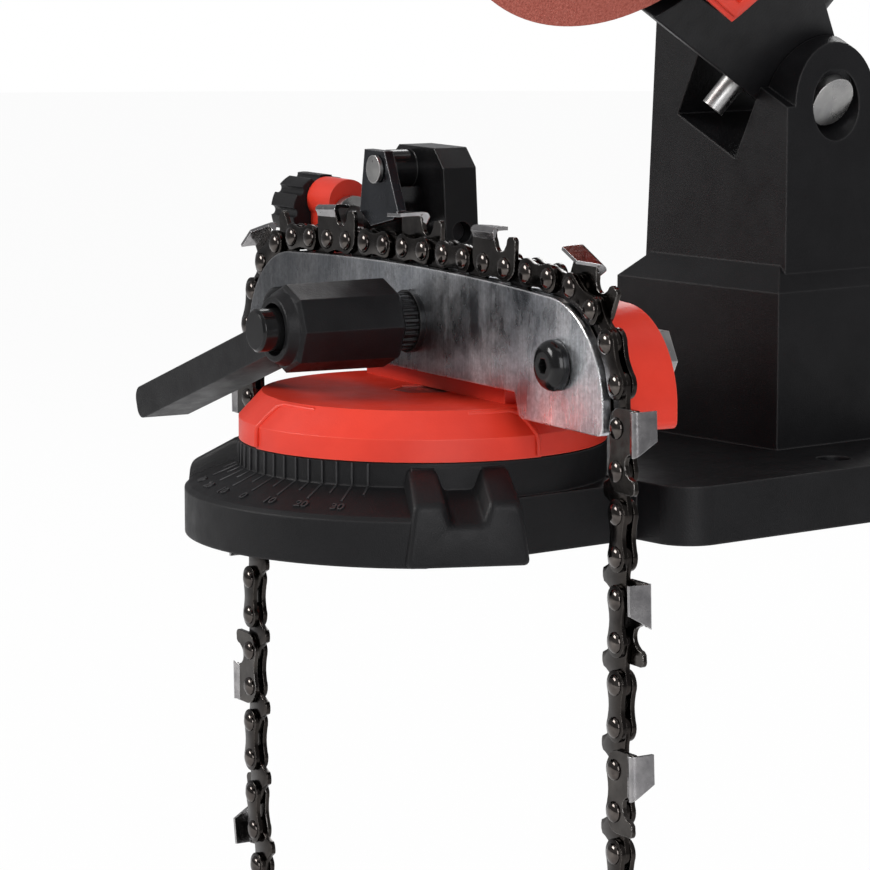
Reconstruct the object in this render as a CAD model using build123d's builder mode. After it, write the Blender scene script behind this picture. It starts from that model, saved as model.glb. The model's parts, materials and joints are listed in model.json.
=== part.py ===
from build123d import *
import os
from math import cos, pi, radians, sin

os.makedirs("parts", exist_ok=True)

# Bench-mounted electric grinder for saw chain. Millimetres, +Z up, the operator
# stands at -Y. The origin is midway between the two bench bolts, on the underside.

# ---------------------------------------------------------------- driving sizes
# Where the main stations stand
TABLE_REACH = 90.0          # bench bolts to the swivel axis
SWIVEL_REST = -9.0          # vise angle read on the scale at rest, degrees

# Running and seating clearances
SEAT_GAP = 0.3              # faces that slide or turn past each other
RUN_FIT = 0.05              # radial play of a shaft in its bore
LINK_GAP = 0.1              # side play between chain links

# Base moulding
RING_R = 57.0
RING_EDGE_H = 11.5
RING_WALL_FOOT_H = 16.5
RING_WALL_R = 44.0
RING_TOP = 22.0
RING_EDGE_BEVEL = 1.0
CAVITY_R = 36.0
CAVITY_ROOF = 14.0
BLOCK_BEARING = 62.0        # block's direction from the machine's front, degrees
BLOCK_W = 28.5
BLOCK_REACH = 53.5
BLOCK_TOP_W = 24.0
BLOCK_TOP_REACH = 52.0
BLOCK_FRONT_H = 14.0
BLOCK_BACK_H = 21.0
BLOCK_EDGE_R = 1.5
NOTCH_W = 11.0
NOTCH_FLOOR_W = 7.4
NOTCH_DEPTH = 5.1
NOTCH_CORNER_R = 1.5
ARM_HALF_W = 45.0
ARM_H = 13.5
SIDE_STEP = 10.0            # from the swivel axis forward to where the ring's slope ends
FLANGE_START = 28.4         # from the swivel axis back to the flange's front edge
FLANGE_HALF_W = 62.0
FLANGE_H = 14.0
FLANGE_CORNER_R = 9.0
FLANGE_WALL = 5.0
BOLT_SPACING = 96.0
BOLT_HOLE_R = 4.25

# Tower
TOWER_HALF_W = 30.0
TOWER_HALF_D = 24.0         # the tower stands evenly about the hinge pin
TOWER_LOWER_H = 59.0
TOWER_SHOULDER = 6.0
TOWER_DRAFT = 1.5           # degrees
HINGE_PIN_R = 4.0
EAR_R = 14.0
FORK_SHIFT = 4.5            # fork's middle, to the right of the machine's middle
FORK_HALF_W = 12.0
FORK_FLOOR = 20.0           # below the hinge axis
EAR_RIGHT = 19.0            # spot faces, from the fork's middle
EAR_LEFT = 27.0
PIN_HEAD_R = 6.5
PIN_HEAD_H = 2.5
EAR_SPOTFACE_R = 8.0

# Turntable
DISC_RIM_TOP = 27.5
DISC_TOP = 33.5
DISC_TOP_R = 38.5
PANEL_PROUD = 0.7
PANEL_ARC = 98.0
HUB_R = 15.0
PIVOT_R = 4.0
PIVOT_HEAD_R = 8.0
PIVOT_HEAD_H = 5.0
CLAMP_WASHER_R = 20.0
CLAMP_WASHER_H = 2.0
KNOB_R = 15.0
KNOB_H = 9.0
KNOB_LOBES = 6
KNOB_LOBE_R = 3.5

# Vise
RAIL_T = 2.2
RAIL_FLAT_HALF = 61.5       # centre of the rounded end
RAIL_END_R = 24.0
RAIL_SHOULDER_Z = 61.5
RAIL_CROWN = 1.7
RAIL_WAIST_Z = 38.4
RAIL_FOOT_Z = 32.6
RAIL_FOOT_INNER = 50.0
RAIL_FOOT_SLANT = 2.0
RAIL_CORNER_R = 2.0
LINK_GAUGE = 1.3            # drive link thickness, the width of the chain groove
CLAMP_TRAVEL = 0.25         # front rail's travel from released to clamped
BODY_INSET = 2.5            # vise body's outline inside the rail's
BODY_REAR = 18.0            # behind the chain's middle plane
RAIL_SCREW_X = 66.4
RAIL_SCREW_Z = 46.5
RAIL_SCREW_R = 3.0
RAIL_SCREW_HEAD_R = 5.8
RAIL_SCREW_HEAD_H = 3.6
RAIL_SCREW_SOCKET_R = 1.9
RAIL_SCREW_SOCKET_DEPTH = 2.0
BODY_SCREW_X = 24.0
BODY_SCREW_R = 2.5
BODY_SCREW_HEAD_R = 4.5
BODY_SCREW_HEAD_H = 3.0
BODY_SCREW_GRIP = 12.0

# Clamp lever
CLAMP_Z = 50.0
STUD_R = 4.0
STUD_FRONT = 32.0           # stud's front end, in front of the chain
STUD_NUT_R = 7.5
STUD_NUT_H = 6.0
CLAMP_WASHER_T = 1.6
LEVER_WASHER_R = 7.5
COLLAR_R = 6.9
COLLAR_L = 4.9
COLLAR_TEETH = 24
COLLAR_TOOTH_R = 0.55
SLEEVE_R = 6.0              # serrated steel sleeve inside the lever
SLEEVE_END = 33.5
LEVER_HUB_REAR_R = 10.6     # to the octagon's corners
LEVER_HUB_FRONT_R = 10.4
LEVER_HUB_BEVEL = 0.8
LEVER_FACE = 37.5           # octagon's front face, in front of the chain
LEVER_LIP_R = 8.8           # conical lip round the socket, at the octagon's face
LEVER_LIP_FRONT_R = 7.6
LEVER_HUB_FRONT = 40.1
LEVER_LIP_EDGE = 0.5
LEVER_SLOPE = 198.5         # arm's direction from the rail's +X, degrees
LEVER_ARM_L = 82.0
LEVER_ARM_W = 8.0
LEVER_ARM_T = 12.5
LEVER_ARM_FRONT = 37.0
LEVER_SOCKET_R = 6.2        # recess at the hub's front for the boss
LEVER_SOCKET_DEPTH = 3.5
BOSS_R = 5.1
BOSS_PROUD = 4.9

# Chain stop
STOP_AXIS_DEPTH = 13.5      # adjusting screw, behind the chain
STOP_AXIS_Z = 70.0
STOP_SCREW_R = 2.5
STOP_LUG_OFFSET = 0.5       # lug's inner face, past the rail's rounded end's centre
STOP_LUG_W = 12.0
STOP_LUG_TOP = 79.0
STOP_LUG_HALF_T = 4.5
STOP_CARRIAGE_X0 = -46.0
STOP_CARRIAGE_X1 = -6.0
STOP_CARRIAGE_TOP = 90.0
STOP_CARRIAGE_HALF_T = 4.5
STOP_SCREW_END = -8.0
STOP_KNOB_R = 9.5
STOP_KNOB_L = 13.0
STOP_KNOB_FLUTES = 10
STOP_KNOB_FLUTE_R = 1.2
PAWL_PIN_X = -23.0
PAWL_PIN_Z = 84.5
PAWL_PIN_R = 2.0
PAWL_T = 2.4
PAWL_DEPTH = 1.6            # middle of the pawl, behind the chain's middle
PAWL_BOSS_R = 4.6
PAWL_CREST = 4.5            # pawl's top, over its pin
PAWL_HEEL = 6.5
PAWL_BACK = 9.0
PAWL_RAKE = 3.2
PAWL_TOE = 3.3
PAWL_FOOT = 7.6
PAWL_FOOT_RISE = 2.3
PAWL_NOSE = 10.0
PAWL_NOSE_RISE = 4.5

# Saw chain, 3/8 inch low profile
HALF_PITCH = 9.525
DRIVE_LINKS = 40
SIDE_LINK_T = 1.2
RIVET_RISE = 3.6            # rivet line above the rail's edge
STRAP_R = 3.4
STRAP_WAIST = 2.5
TANG_DEPTH = 7.2
LINK_END_R = 3.1
CUTTER_HEIGHT = 8.6
CUTTER_PLATE_T = 1.0
CUTTER_PLATE_W = 5.2
CUTTER_OVERHANG = 4.7       # cutter's ends, past its rivets
CUTTER_FLARE = 1.0          # roof's overhang outwards
CUTTER_EDGE_X = 0.3         # cutting edge, ahead of the cutter's middle
GULLET_HEIGHT = 4.4
GAUGE_X = 5.8
GAUGE_HEIGHT = 7.4
LOOP_DROP = 125.0           # depth of the loop's rounded bottom
LINK_PATTERN = 4            # side links from one cutter to the next of its hand
STOPPED_RIVET_X = 2.7       # front rivet of the cutter that stands under the wheel

# Head
HEAD_TILT = 25.0            # wheel leans over the cutter's top plate, degrees
HEAD_RAISE = 30.0           # how far up the head rests, degrees
GRIND_X = 0.8               # lowest point of the lowered wheel
GRIND_Z = 72.0
WHEEL_R = 54.0
WHEEL_T = 3.2
WHEEL_BORE_R = 11.5
WHEEL_FORE = 112.0          # wheel centre in front of the hinge
WHEEL_RISE = 20.0           # wheel centre over the hinge, head lowered
BARREL_R = 11.0
ARM_T = 14.5
MOTOR_FLANGE_R = 34.0
GUARD_R = 62.5
GUARD_WALL = 2.5
GUARD_BACK = 12.0           # guard's back wall, towards the motor
GUARD_FRONT = 10.0          # guard's open side
MOTOR_SEAT_T = 5.0          # flange between guard and motor
GUARD_SKIRT = 22.0          # guard's lower edge below the wheel centre
COVER_T = 2.5
COVER_SCREW_R = 1.75
COVER_SCREW_HEAD_R = 3.4
COVER_SCREW_GRIP = 8.0
COVER_BOSS_R = 4.5
COVER_BOSS_RING_R = 64.5
COVER_SCREW_BEARINGS = (70.0, 125.0, 178.0)
SHAFT_R = 5.0
SPINDLE_HUB_R = 8.0
FLANGE_DISC_R = 19.0
FLANGE_DISC_T = 2.6
SPINDLE_NUT_R = 8.5
SPINDLE_NUT_H = 4.5
MOTOR_R = 32.0
MOTOR_WALL = 2.8
MOTOR_SHELL_L = 61.0
MOTOR_CAP_L = 17.0
MOTOR_CAP_R = 31.0
CAP_END_T = 3.0
VENT_COUNT = 10
VENT_W = 3.0
VENT_L = 16.0
VENT_INSET = 5.0
BEARING_R = 11.0
BEARING_L = 7.0
FAN_R = 24.0
FAN_L = 6.0
FAN_BLADES = 8
FAN_START = 24.0
FAN_PLATE_T = 1.2
ROTOR_R = 17.0
ROTOR_START = 40.0
ROTOR_L = 26.0
FIELD_IN_R = 18.0
COMMUTATOR_R = 9.0
COMMUTATOR_L = 8.0
COMMUTATOR_START = 69.0
BRUSH_W = 5.0
BRUSH_REACH = 21.0
STOP_BOLT_FORE = 15.0
STOP_BOLT_R = 3.0
STOP_BOLT_TOP = 25.0
STOP_BOSS_R = 7.0
STOP_BOSS_TOP = 20.4
STOP_BOLT_KNOB_R = 8.0
STOP_BOLT_KNOB_H = 9.0
LOCK_NUT_R = 5.5
LOCK_NUT_H = 4.0
SPRING_R = 6.6
SPRING_WIRE = 1.8
SPRING_COIL_GAP = 0.2
SPRING_TURNS = 3
SPRING_LEG = 12.0
HANDLE_BEARING = 38.0       # handle's direction over straight ahead, degrees
HANDLE_PAD_REACH = 68.0
HANDLE_PAD_W = 24.0
HANDLE_NECK_R = 9.0
HANDLE_NECK_L = 14.0
HANDLE_STUD_R = 4.0
HANDLE_STUD_L = 6.0
HANDLE_GRIP_R = 14.0
HANDLE_GRIP_L = 78.0
GRIP_END_R = 6.0
SHIELD_T = 2.0
SHIELD_L = 40.0
SHIELD_PIN_R = 1.6
SHIELD_KNUCKLE_R = 3.6
SHIELD_BEARING = 4.0
SHIELD_STATION = 1.0
SHIELD_KNUCKLE_HALF = 5.0
SWITCH_BOX_L = 34.0
SWITCH_BOX_W = 22.0
SWITCH_BOX_REACH = 41.0
SWITCH_START = 23.0
ROCKER_L = 24.0
ROCKER_W = 13.0
ROCKER_DEPTH = 5.0
ROCKER_POCKET = 7.5
ROCKER_TILT = 7.0           # rocker's slope at rest, degrees
GLAND_R = 7.0
GLAND_L = 12.0
GLAND_OFFSET = 19.0         # behind the motor's axis
GLAND_BORE_R = 3.6

# ---------------------------------------------------------------- frames
RAIL_DIR = Vector(cos(radians(SWIVEL_REST)), sin(radians(SWIVEL_REST)), 0)
REAR_DIR = Vector(-sin(radians(SWIVEL_REST)), cos(radians(SWIVEL_REST)), 0)
TABLE = Vector(0, -TABLE_REACH, 0)
UP = Vector(0, 0, 1)
FRONT = Vector(0, -1, 0)

# The hinge axis points to the motor; the lowered wheel touches down at the grinding point
AXIS_DIR = Vector(-cos(radians(HEAD_TILT)), 0, sin(radians(HEAD_TILT)))
LEAN_DIR = Vector(sin(radians(HEAD_TILT)), 0, cos(radians(HEAD_TILT)))
GRIND_POINT = TABLE + Vector(GRIND_X, 0, GRIND_Z)
HINGE = GRIND_POINT + LEAN_DIR * (WHEEL_R - WHEEL_RISE) - FRONT * WHEEL_FORE
FORK_MID = HINGE.X / cos(radians(HEAD_TILT)) - FORK_SHIFT
FORE_DIR = FRONT * cos(radians(HEAD_RAISE)) + LEAN_DIR * sin(radians(HEAD_RAISE))
RISE_DIR = LEAN_DIR * cos(radians(HEAD_RAISE)) - FRONT * sin(radians(HEAD_RAISE))
WHEEL_CENTRE = (WHEEL_FORE, WHEEL_RISE)


def level(height, turned=False):
    """Level plane over the swivel axis, square to the machine or turned with the vise."""
    x_dir = RAIL_DIR if turned else Vector(1, 0, 0)
    return Plane(origin=TABLE + UP * height, x_dir=x_dir, z_dir=UP)


def upright(depth):
    """Plane along the rails that faces the operator; depth is measured behind the chain."""
    return Plane(origin=TABLE + REAR_DIR * depth, x_dir=RAIL_DIR, z_dir=-REAR_DIR)


def across(station):
    """Plane square to the rails at a station along them: X to the operator, Y up."""
    return Plane(origin=TABLE + RAIL_DIR * station, x_dir=-REAR_DIR, z_dir=-RAIL_DIR)


def head(station):
    """Plane square to the hinge axis, raised with the head: X forward, Y up."""
    return Plane(origin=HINGE + AXIS_DIR * station, x_dir=FORE_DIR, z_dir=AXIS_DIR)


def tower_cut(station):
    """The same plane, standing with the tower."""
    return Plane(origin=HINGE + AXIS_DIR * station, x_dir=FRONT, z_dir=AXIS_DIR)


def finish(part, name):
    """Label a piece and write it to its own file."""
    part.label = name
    export_step(part, f"parts/{name}.step")


def turned(plane, place, r, length, bore=0.0):
    """A round piece or sleeve standing on a plane."""
    with BuildPart() as piece:
        with BuildSketch(plane):
            with Locations(place):
                Circle(r)
                if bore:
                    Circle(bore, mode=Mode.SUBTRACT)
        extrude(amount=length)
    return piece.part


# ---------------------------------------------------------------- base
def radial(bearing):
    """Upright plane through the swivel axis: X outwards, Y up; bearing from the front."""
    out = Vector(sin(radians(bearing)), -cos(radians(bearing)), 0)
    return Plane(origin=TABLE, x_dir=out, z_dir=out.cross(UP))


flange_end = WHEEL_FORE + TOWER_HALF_D
flange_mid = (FLANGE_START + flange_end) / 2 - TABLE_REACH
flange_length = flange_end - FLANGE_START
tower_depth = 2 * TOWER_HALF_D
tower_mid = WHEEL_FORE - TABLE_REACH
ear_top = HINGE.Z + EAR_LEFT * sin(radians(HEAD_TILT)) + 2 * EAR_R
block_root = CAVITY_R + FLANGE_WALL
block_slope = (BLOCK_BACK_H - BLOCK_FRONT_H) / (BLOCK_TOP_REACH - RING_WALL_R)


def block(bearing):
    """Block at the ring's side: drawn in towards its top, which slopes up to the ring's wall."""
    side = radial(bearing)
    rise = BLOCK_BACK_H / BLOCK_FRONT_H
    with BuildPart() as piece:
        for share in (0, rise):
            reach = BLOCK_REACH - (BLOCK_REACH - BLOCK_TOP_REACH) * share
            width = BLOCK_W - (BLOCK_W - BLOCK_TOP_W) * share
            with BuildSketch(Plane(TABLE + UP * BLOCK_FRONT_H * share, x_dir=side.x_dir, z_dir=UP)):
                with Locations(((block_root + reach) / 2, 0)):
                    RectangleRounded(reach - block_root, width, BLOCK_EDGE_R)
        loft()
        with BuildSketch(side):
            with BuildLine():
                Polyline(
                    (RING_WALL_R, BLOCK_BACK_H), (BLOCK_TOP_REACH, BLOCK_FRONT_H),
                    (BLOCK_REACH, BLOCK_FRONT_H), (BLOCK_REACH, RING_TOP),
                    (RING_WALL_R, RING_TOP), close=True,
                )
            make_face()
        extrude(amount=BLOCK_W, both=True, mode=Mode.SUBTRACT)
    return piece.part


def notch(bearing):
    """Channel down the middle of a block's slope."""
    out = radial(bearing).x_dir
    foot = TABLE + out * RING_WALL_R + UP * BLOCK_BACK_H
    with BuildPart() as piece:
        with BuildSketch(Plane(foot, x_dir=UP.cross(out), z_dir=out)) as channel:
            with BuildLine():
                Polyline(
                    (-NOTCH_FLOOR_W / 2, -NOTCH_DEPTH), (NOTCH_FLOOR_W / 2, -NOTCH_DEPTH),
                    (NOTCH_W / 2, 0), (NOTCH_W / 2, NOTCH_DEPTH), (-NOTCH_W / 2, NOTCH_DEPTH),
                    (-NOTCH_W / 2, 0), close=True,
                )
            make_face()
            fillet(channel.vertices().group_by(Axis.Y)[0], NOTCH_CORNER_R)
        extrude(amount=RING_WALL_R, dir=out - UP * block_slope)
    return piece.part


with BuildPart() as base:
    with BuildSketch(radial(0)) as ring_profile:
        with BuildLine():
            Polyline(
                (0, 0), (RING_R, 0), (RING_R, RING_EDGE_H - RING_EDGE_BEVEL),
                (RING_R - RING_EDGE_BEVEL, RING_EDGE_H), (RING_WALL_R, RING_WALL_FOOT_H),
                (RING_WALL_R, RING_TOP), (0, RING_TOP), close=True,
            )
        make_face()
    revolve(axis=Axis(TABLE, UP))
    # level sides behind the blocks
    with BuildSketch(level(0)):
        Rectangle(2 * ARM_HALF_W, 2 * RING_R)
    extrude(amount=RING_TOP, mode=Mode.INTERSECT)
    with BuildSketch(level(ARM_H)):
        with Locations((0, RING_R - SIDE_STEP)):
            Rectangle(2 * RING_R, 2 * RING_R)
        Circle(RING_WALL_R, mode=Mode.SUBTRACT)
    extrude(amount=RING_TOP, mode=Mode.SUBTRACT)
    with BuildSketch(Plane((0, flange_mid, 0))):
        RectangleRounded(2 * FLANGE_HALF_W, flange_length, FLANGE_CORNER_R)
    extrude(amount=FLANGE_H)
    with BuildSketch(Plane((0, FLANGE_START / 2 - TABLE_REACH, 0))):
        Rectangle(2 * ARM_HALF_W, FLANGE_START + FLANGE_CORNER_R)
    extrude(amount=ARM_H)
    with BuildSketch(Plane((0, tower_mid, 0))):
        Rectangle(2 * TOWER_HALF_W, tower_depth)
    extrude(amount=TOWER_LOWER_H)
    shoulder = base.faces().sort_by(Axis.Z)[-1].edges()
    chamfer(shoulder, length=TOWER_SHOULDER)
    with BuildSketch(Plane((0, tower_mid, TOWER_LOWER_H - TOWER_SHOULDER))):
        Rectangle(2 * (TOWER_HALF_W - TOWER_SHOULDER) + 4, tower_depth - 2 * TOWER_SHOULDER)
    extrude(amount=ear_top - TOWER_LOWER_H, taper=TOWER_DRAFT)
    for bearing in (BLOCK_BEARING, -BLOCK_BEARING):
        add(block(bearing))
        add(notch(bearing), mode=Mode.SUBTRACT)
    # hollow under the turntable, and the pocket of the flange, open to below
    with BuildSketch(level(0)):
        Circle(CAVITY_R)
    extrude(amount=CAVITY_ROOF, mode=Mode.SUBTRACT)
    with BuildSketch(level(0)):
        Circle(HUB_R + RUN_FIT)
    extrude(amount=RING_TOP, mode=Mode.SUBTRACT)
    # rounded crown round the hinge, the fork between its ears and the pin's way
    with BuildSketch(tower_cut(FORK_MID)):
        with Locations((0, 3 * EAR_R)):
            Rectangle(10 * EAR_R, 6 * EAR_R)
        Circle(EAR_R, mode=Mode.SUBTRACT)
    extrude(amount=4 * EAR_R, both=True, mode=Mode.SUBTRACT)
    with BuildSketch(tower_cut(FORK_MID)):
        with Locations((0, 3 * EAR_R - FORK_FLOOR)):
            Rectangle(10 * EAR_R, 6 * EAR_R)
    extrude(amount=FORK_HALF_W, both=True, mode=Mode.SUBTRACT)
    with BuildSketch(tower_cut(FORK_MID)):
        Circle(HINGE_PIN_R)
    extrude(amount=4 * EAR_R, both=True, mode=Mode.SUBTRACT)
    with BuildSketch(tower_cut(FORK_MID + EAR_LEFT)):
        Circle(EAR_SPOTFACE_R)
    extrude(amount=2 * EAR_R, mode=Mode.SUBTRACT)
    with BuildSketch(tower_cut(FORK_MID - EAR_RIGHT)):
        Circle(EAR_SPOTFACE_R)
    extrude(amount=-2 * EAR_R, mode=Mode.SUBTRACT)
    # bench bolt holes
    with BuildSketch(Plane.XY):
        with Locations((-BOLT_SPACING / 2, 0), (BOLT_SPACING / 2, 0)):
            Circle(BOLT_HOLE_R)
    extrude(amount=FLANGE_H, mode=Mode.SUBTRACT)
finish(base.part, "base")

with BuildPart() as hinge_pin:
    add(turned(tower_cut(FORK_MID - EAR_RIGHT), (0, 0), HINGE_PIN_R, EAR_RIGHT + EAR_LEFT))
    add(turned(tower_cut(FORK_MID + EAR_LEFT), (0, 0), PIN_HEAD_R, PIN_HEAD_H))
    add(turned(tower_cut(FORK_MID - EAR_RIGHT), (0, 0), PIN_HEAD_R, -PIN_HEAD_H))
finish(hinge_pin.part, "hinge_pin")


# ---------------------------------------------------------------- turntable
disc_bottom = RING_TOP + SEAT_GAP
hub_bottom = CAVITY_ROOF - SEAT_GAP
washer_bottom = hub_bottom - CLAMP_WASHER_H
knob_bottom = washer_bottom - KNOB_H


def disc_profile(proud):
    """Half section of the turntable, from the axis outwards."""
    with BuildLine() as line:
        Polyline(
            (0, disc_bottom), (RING_WALL_R + proud, disc_bottom), (RING_WALL_R + proud, DISC_RIM_TOP),
            (DISC_TOP_R + proud, DISC_TOP), (0, DISC_TOP), close=True,
        )
    return line.line


with BuildPart() as turntable_disc:
    with BuildSketch(radial(SWIVEL_REST)):
        with BuildLine():
            add(disc_profile(0))
        make_face()
    revolve(axis=Axis(TABLE, UP))
    with BuildSketch(radial(SWIVEL_REST)):
        with BuildLine():
            add(disc_profile(PANEL_PROUD))
        make_face()
    revolve(axis=Axis(TABLE, UP), revolution_arc=PANEL_ARC)
    with BuildSketch(level(hub_bottom)):
        Circle(HUB_R)
    extrude(amount=disc_bottom - hub_bottom)
    with BuildSketch(level(hub_bottom)):
        Circle(PIVOT_R)
    extrude(amount=DISC_TOP, mode=Mode.SUBTRACT)
    with BuildSketch(level(DISC_TOP - PIVOT_HEAD_H)):
        RegularPolygon(PIVOT_HEAD_R + RUN_FIT, 6)
    extrude(amount=PIVOT_HEAD_H, mode=Mode.SUBTRACT)
    with BuildSketch(level(disc_bottom, turned=True)):
        with Locations((-BODY_SCREW_X, STOP_AXIS_DEPTH), (BODY_SCREW_X, STOP_AXIS_DEPTH)):
            Circle(BODY_SCREW_R)
    extrude(amount=DISC_TOP, mode=Mode.SUBTRACT)
    with BuildSketch(level(disc_bottom, turned=True)):
        with Locations((-BODY_SCREW_X, STOP_AXIS_DEPTH), (BODY_SCREW_X, STOP_AXIS_DEPTH)):
            Circle(BODY_SCREW_HEAD_R)
    extrude(amount=BODY_SCREW_HEAD_H, mode=Mode.SUBTRACT)
finish(turntable_disc.part, "turntable_disc")

with BuildPart() as pivot_bolt:
    with BuildSketch(level(knob_bottom + SEAT_GAP)):
        Circle(PIVOT_R)
    extrude(amount=DISC_TOP - PIVOT_HEAD_H - knob_bottom - SEAT_GAP)
    with BuildSketch(level(DISC_TOP - PIVOT_HEAD_H)):
        RegularPolygon(PIVOT_HEAD_R, 6)
    extrude(amount=PIVOT_HEAD_H - SEAT_GAP)
finish(pivot_bolt.part, "pivot_bolt")

finish(turned(level(washer_bottom), (0, 0), CLAMP_WASHER_R, CLAMP_WASHER_H, PIVOT_R), "table_washer")

with BuildPart() as angle_lock_knob:
    with BuildSketch(level(knob_bottom)):
        Circle(KNOB_R)
        with PolarLocations(KNOB_R, KNOB_LOBES):
            Circle(KNOB_LOBE_R, mode=Mode.SUBTRACT)
        Circle(PIVOT_R + RUN_FIT, mode=Mode.SUBTRACT)
    extrude(amount=KNOB_H - SEAT_GAP)
    chamfer(angle_lock_knob.faces().sort_by(Axis.Z)[0].outer_wire().edges(), length=0.8)
finish(angle_lock_knob.part, "angle_lock_knob")


# ---------------------------------------------------------------- vise
end_centre_z = RAIL_SHOULDER_Z - RAIL_END_R
STOP_LUG_X1 = -RAIL_FLAT_HALF - STOP_LUG_OFFSET
STOP_LUG_X0 = STOP_LUG_X1 - STOP_LUG_W


def rail_outline(inset=0.0):
    """Outline shared by the rails and, set in, by the vise body behind them."""
    end_x = RAIL_FLAT_HALF + RAIL_END_R - inset
    with BuildSketch(Plane.XY) as outline:
        with BuildLine():
            ThreePointArc(
                (-RAIL_FLAT_HALF, RAIL_SHOULDER_Z - inset), (0, RAIL_SHOULDER_Z + RAIL_CROWN - inset),
                (RAIL_FLAT_HALF, RAIL_SHOULDER_Z - inset),
            )
            for side in (1, -1):
                RadiusArc(
                    (side * RAIL_FLAT_HALF, RAIL_SHOULDER_Z - inset), (side * end_x, end_centre_z),
                    side * (RAIL_END_R - inset),
                )
                Polyline(
                    (side * end_x, end_centre_z), (side * end_x, RAIL_FOOT_Z),
                    (side * RAIL_FOOT_INNER, RAIL_FOOT_Z),
                    (side * (RAIL_FOOT_INNER - RAIL_FOOT_SLANT), RAIL_WAIST_Z), (0, RAIL_WAIST_Z),
                )
        make_face()
        feet = outline.vertices().filter_by_position(Axis.Y, RAIL_FOOT_Z - 1, RAIL_FOOT_Z + 1)
        fillet(feet, RAIL_CORNER_R)
    return outline.sketch


groove = LINK_GAUGE / 2 + LINK_GAP
rear_rail_front = groove
rear_rail_back = rear_rail_front + RAIL_T
front_rail_back = groove + CLAMP_TRAVEL
front_rail_front = front_rail_back + RAIL_T
rail_screw_places = [(-RAIL_SCREW_X, RAIL_SCREW_Z), (RAIL_SCREW_X, RAIL_SCREW_Z)]

with BuildPart() as front_rail:
    with BuildSketch(upright(-front_rail_back)):
        add(rail_outline())
        with Locations((0, CLAMP_Z)):
            Circle(STUD_R + SEAT_GAP, mode=Mode.SUBTRACT)
        with Locations(*rail_screw_places):
            Circle(RAIL_SCREW_R + RUN_FIT, mode=Mode.SUBTRACT)
    extrude(amount=RAIL_T)
finish(front_rail.part, "front_rail")

with BuildPart() as rear_rail:
    with BuildSketch(upright(rear_rail_back)):
        add(rail_outline())
        with Locations((0, CLAMP_Z)):
            Circle(STUD_R, mode=Mode.SUBTRACT)
        with Locations(*rail_screw_places):
            Circle(RAIL_SCREW_R, mode=Mode.SUBTRACT)
    extrude(amount=RAIL_T)
finish(rear_rail.part, "rear_rail")

with BuildPart() as vise_body:
    with BuildSketch(upright(BODY_REAR)):
        add(rail_outline(BODY_INSET))
        with Locations((0, (RAIL_WAIST_Z + DISC_TOP) / 2)):
            Rectangle(2 * DISC_TOP_R * cos(radians(30)), RAIL_WAIST_Z - DISC_TOP)
    extrude(amount=BODY_REAR - rear_rail_back)
    with BuildSketch(across(STOP_LUG_X0)):
        with BuildLine():
            Line((-STOP_AXIS_DEPTH - STOP_LUG_HALF_T, end_centre_z),
                 (-STOP_AXIS_DEPTH - STOP_LUG_HALF_T, STOP_AXIS_Z))
            Line((-STOP_AXIS_DEPTH + STOP_LUG_HALF_T, end_centre_z),
                 (-STOP_AXIS_DEPTH + STOP_LUG_HALF_T, STOP_AXIS_Z))
            ThreePointArc(
                (-STOP_AXIS_DEPTH - STOP_LUG_HALF_T, STOP_AXIS_Z),
                (-STOP_AXIS_DEPTH, STOP_LUG_TOP),
                (-STOP_AXIS_DEPTH + STOP_LUG_HALF_T, STOP_AXIS_Z),
            )
            Line((-STOP_AXIS_DEPTH - STOP_LUG_HALF_T, end_centre_z),
                 (-STOP_AXIS_DEPTH + STOP_LUG_HALF_T, end_centre_z))
        make_face()
    extrude(amount=-(STOP_LUG_X1 - STOP_LUG_X0))
    with BuildSketch(across(STOP_LUG_X0)):
        with Locations((-STOP_AXIS_DEPTH, STOP_AXIS_Z)):
            Circle(STOP_SCREW_R + RUN_FIT)
    extrude(amount=-(STOP_LUG_X1 - STOP_LUG_X0), mode=Mode.SUBTRACT)
    with BuildSketch(upright(BODY_REAR)):
        with Locations((0, CLAMP_Z)):
            Circle(STUD_R)
        with Locations(*rail_screw_places):
            Circle(RAIL_SCREW_R)
    extrude(amount=BODY_REAR, mode=Mode.SUBTRACT)
    with BuildSketch(level(DISC_TOP, turned=True)):
        with Locations((-BODY_SCREW_X, STOP_AXIS_DEPTH), (BODY_SCREW_X, STOP_AXIS_DEPTH)):
            Circle(BODY_SCREW_R)
    extrude(amount=BODY_SCREW_GRIP, mode=Mode.SUBTRACT)
finish(vise_body.part, "vise_body")

with BuildPart() as body_screws:
    for side in (-BODY_SCREW_X, BODY_SCREW_X):
        place = (side, STOP_AXIS_DEPTH)
        head_z = disc_bottom + SEAT_GAP
        add(turned(level(head_z, turned=True), place, BODY_SCREW_HEAD_R - SEAT_GAP,
                   BODY_SCREW_HEAD_H - SEAT_GAP))
        add(turned(level(head_z, turned=True), place, BODY_SCREW_R,
                   DISC_TOP + BODY_SCREW_GRIP - head_z))
finish(body_screws.part, "body_screws")

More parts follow.
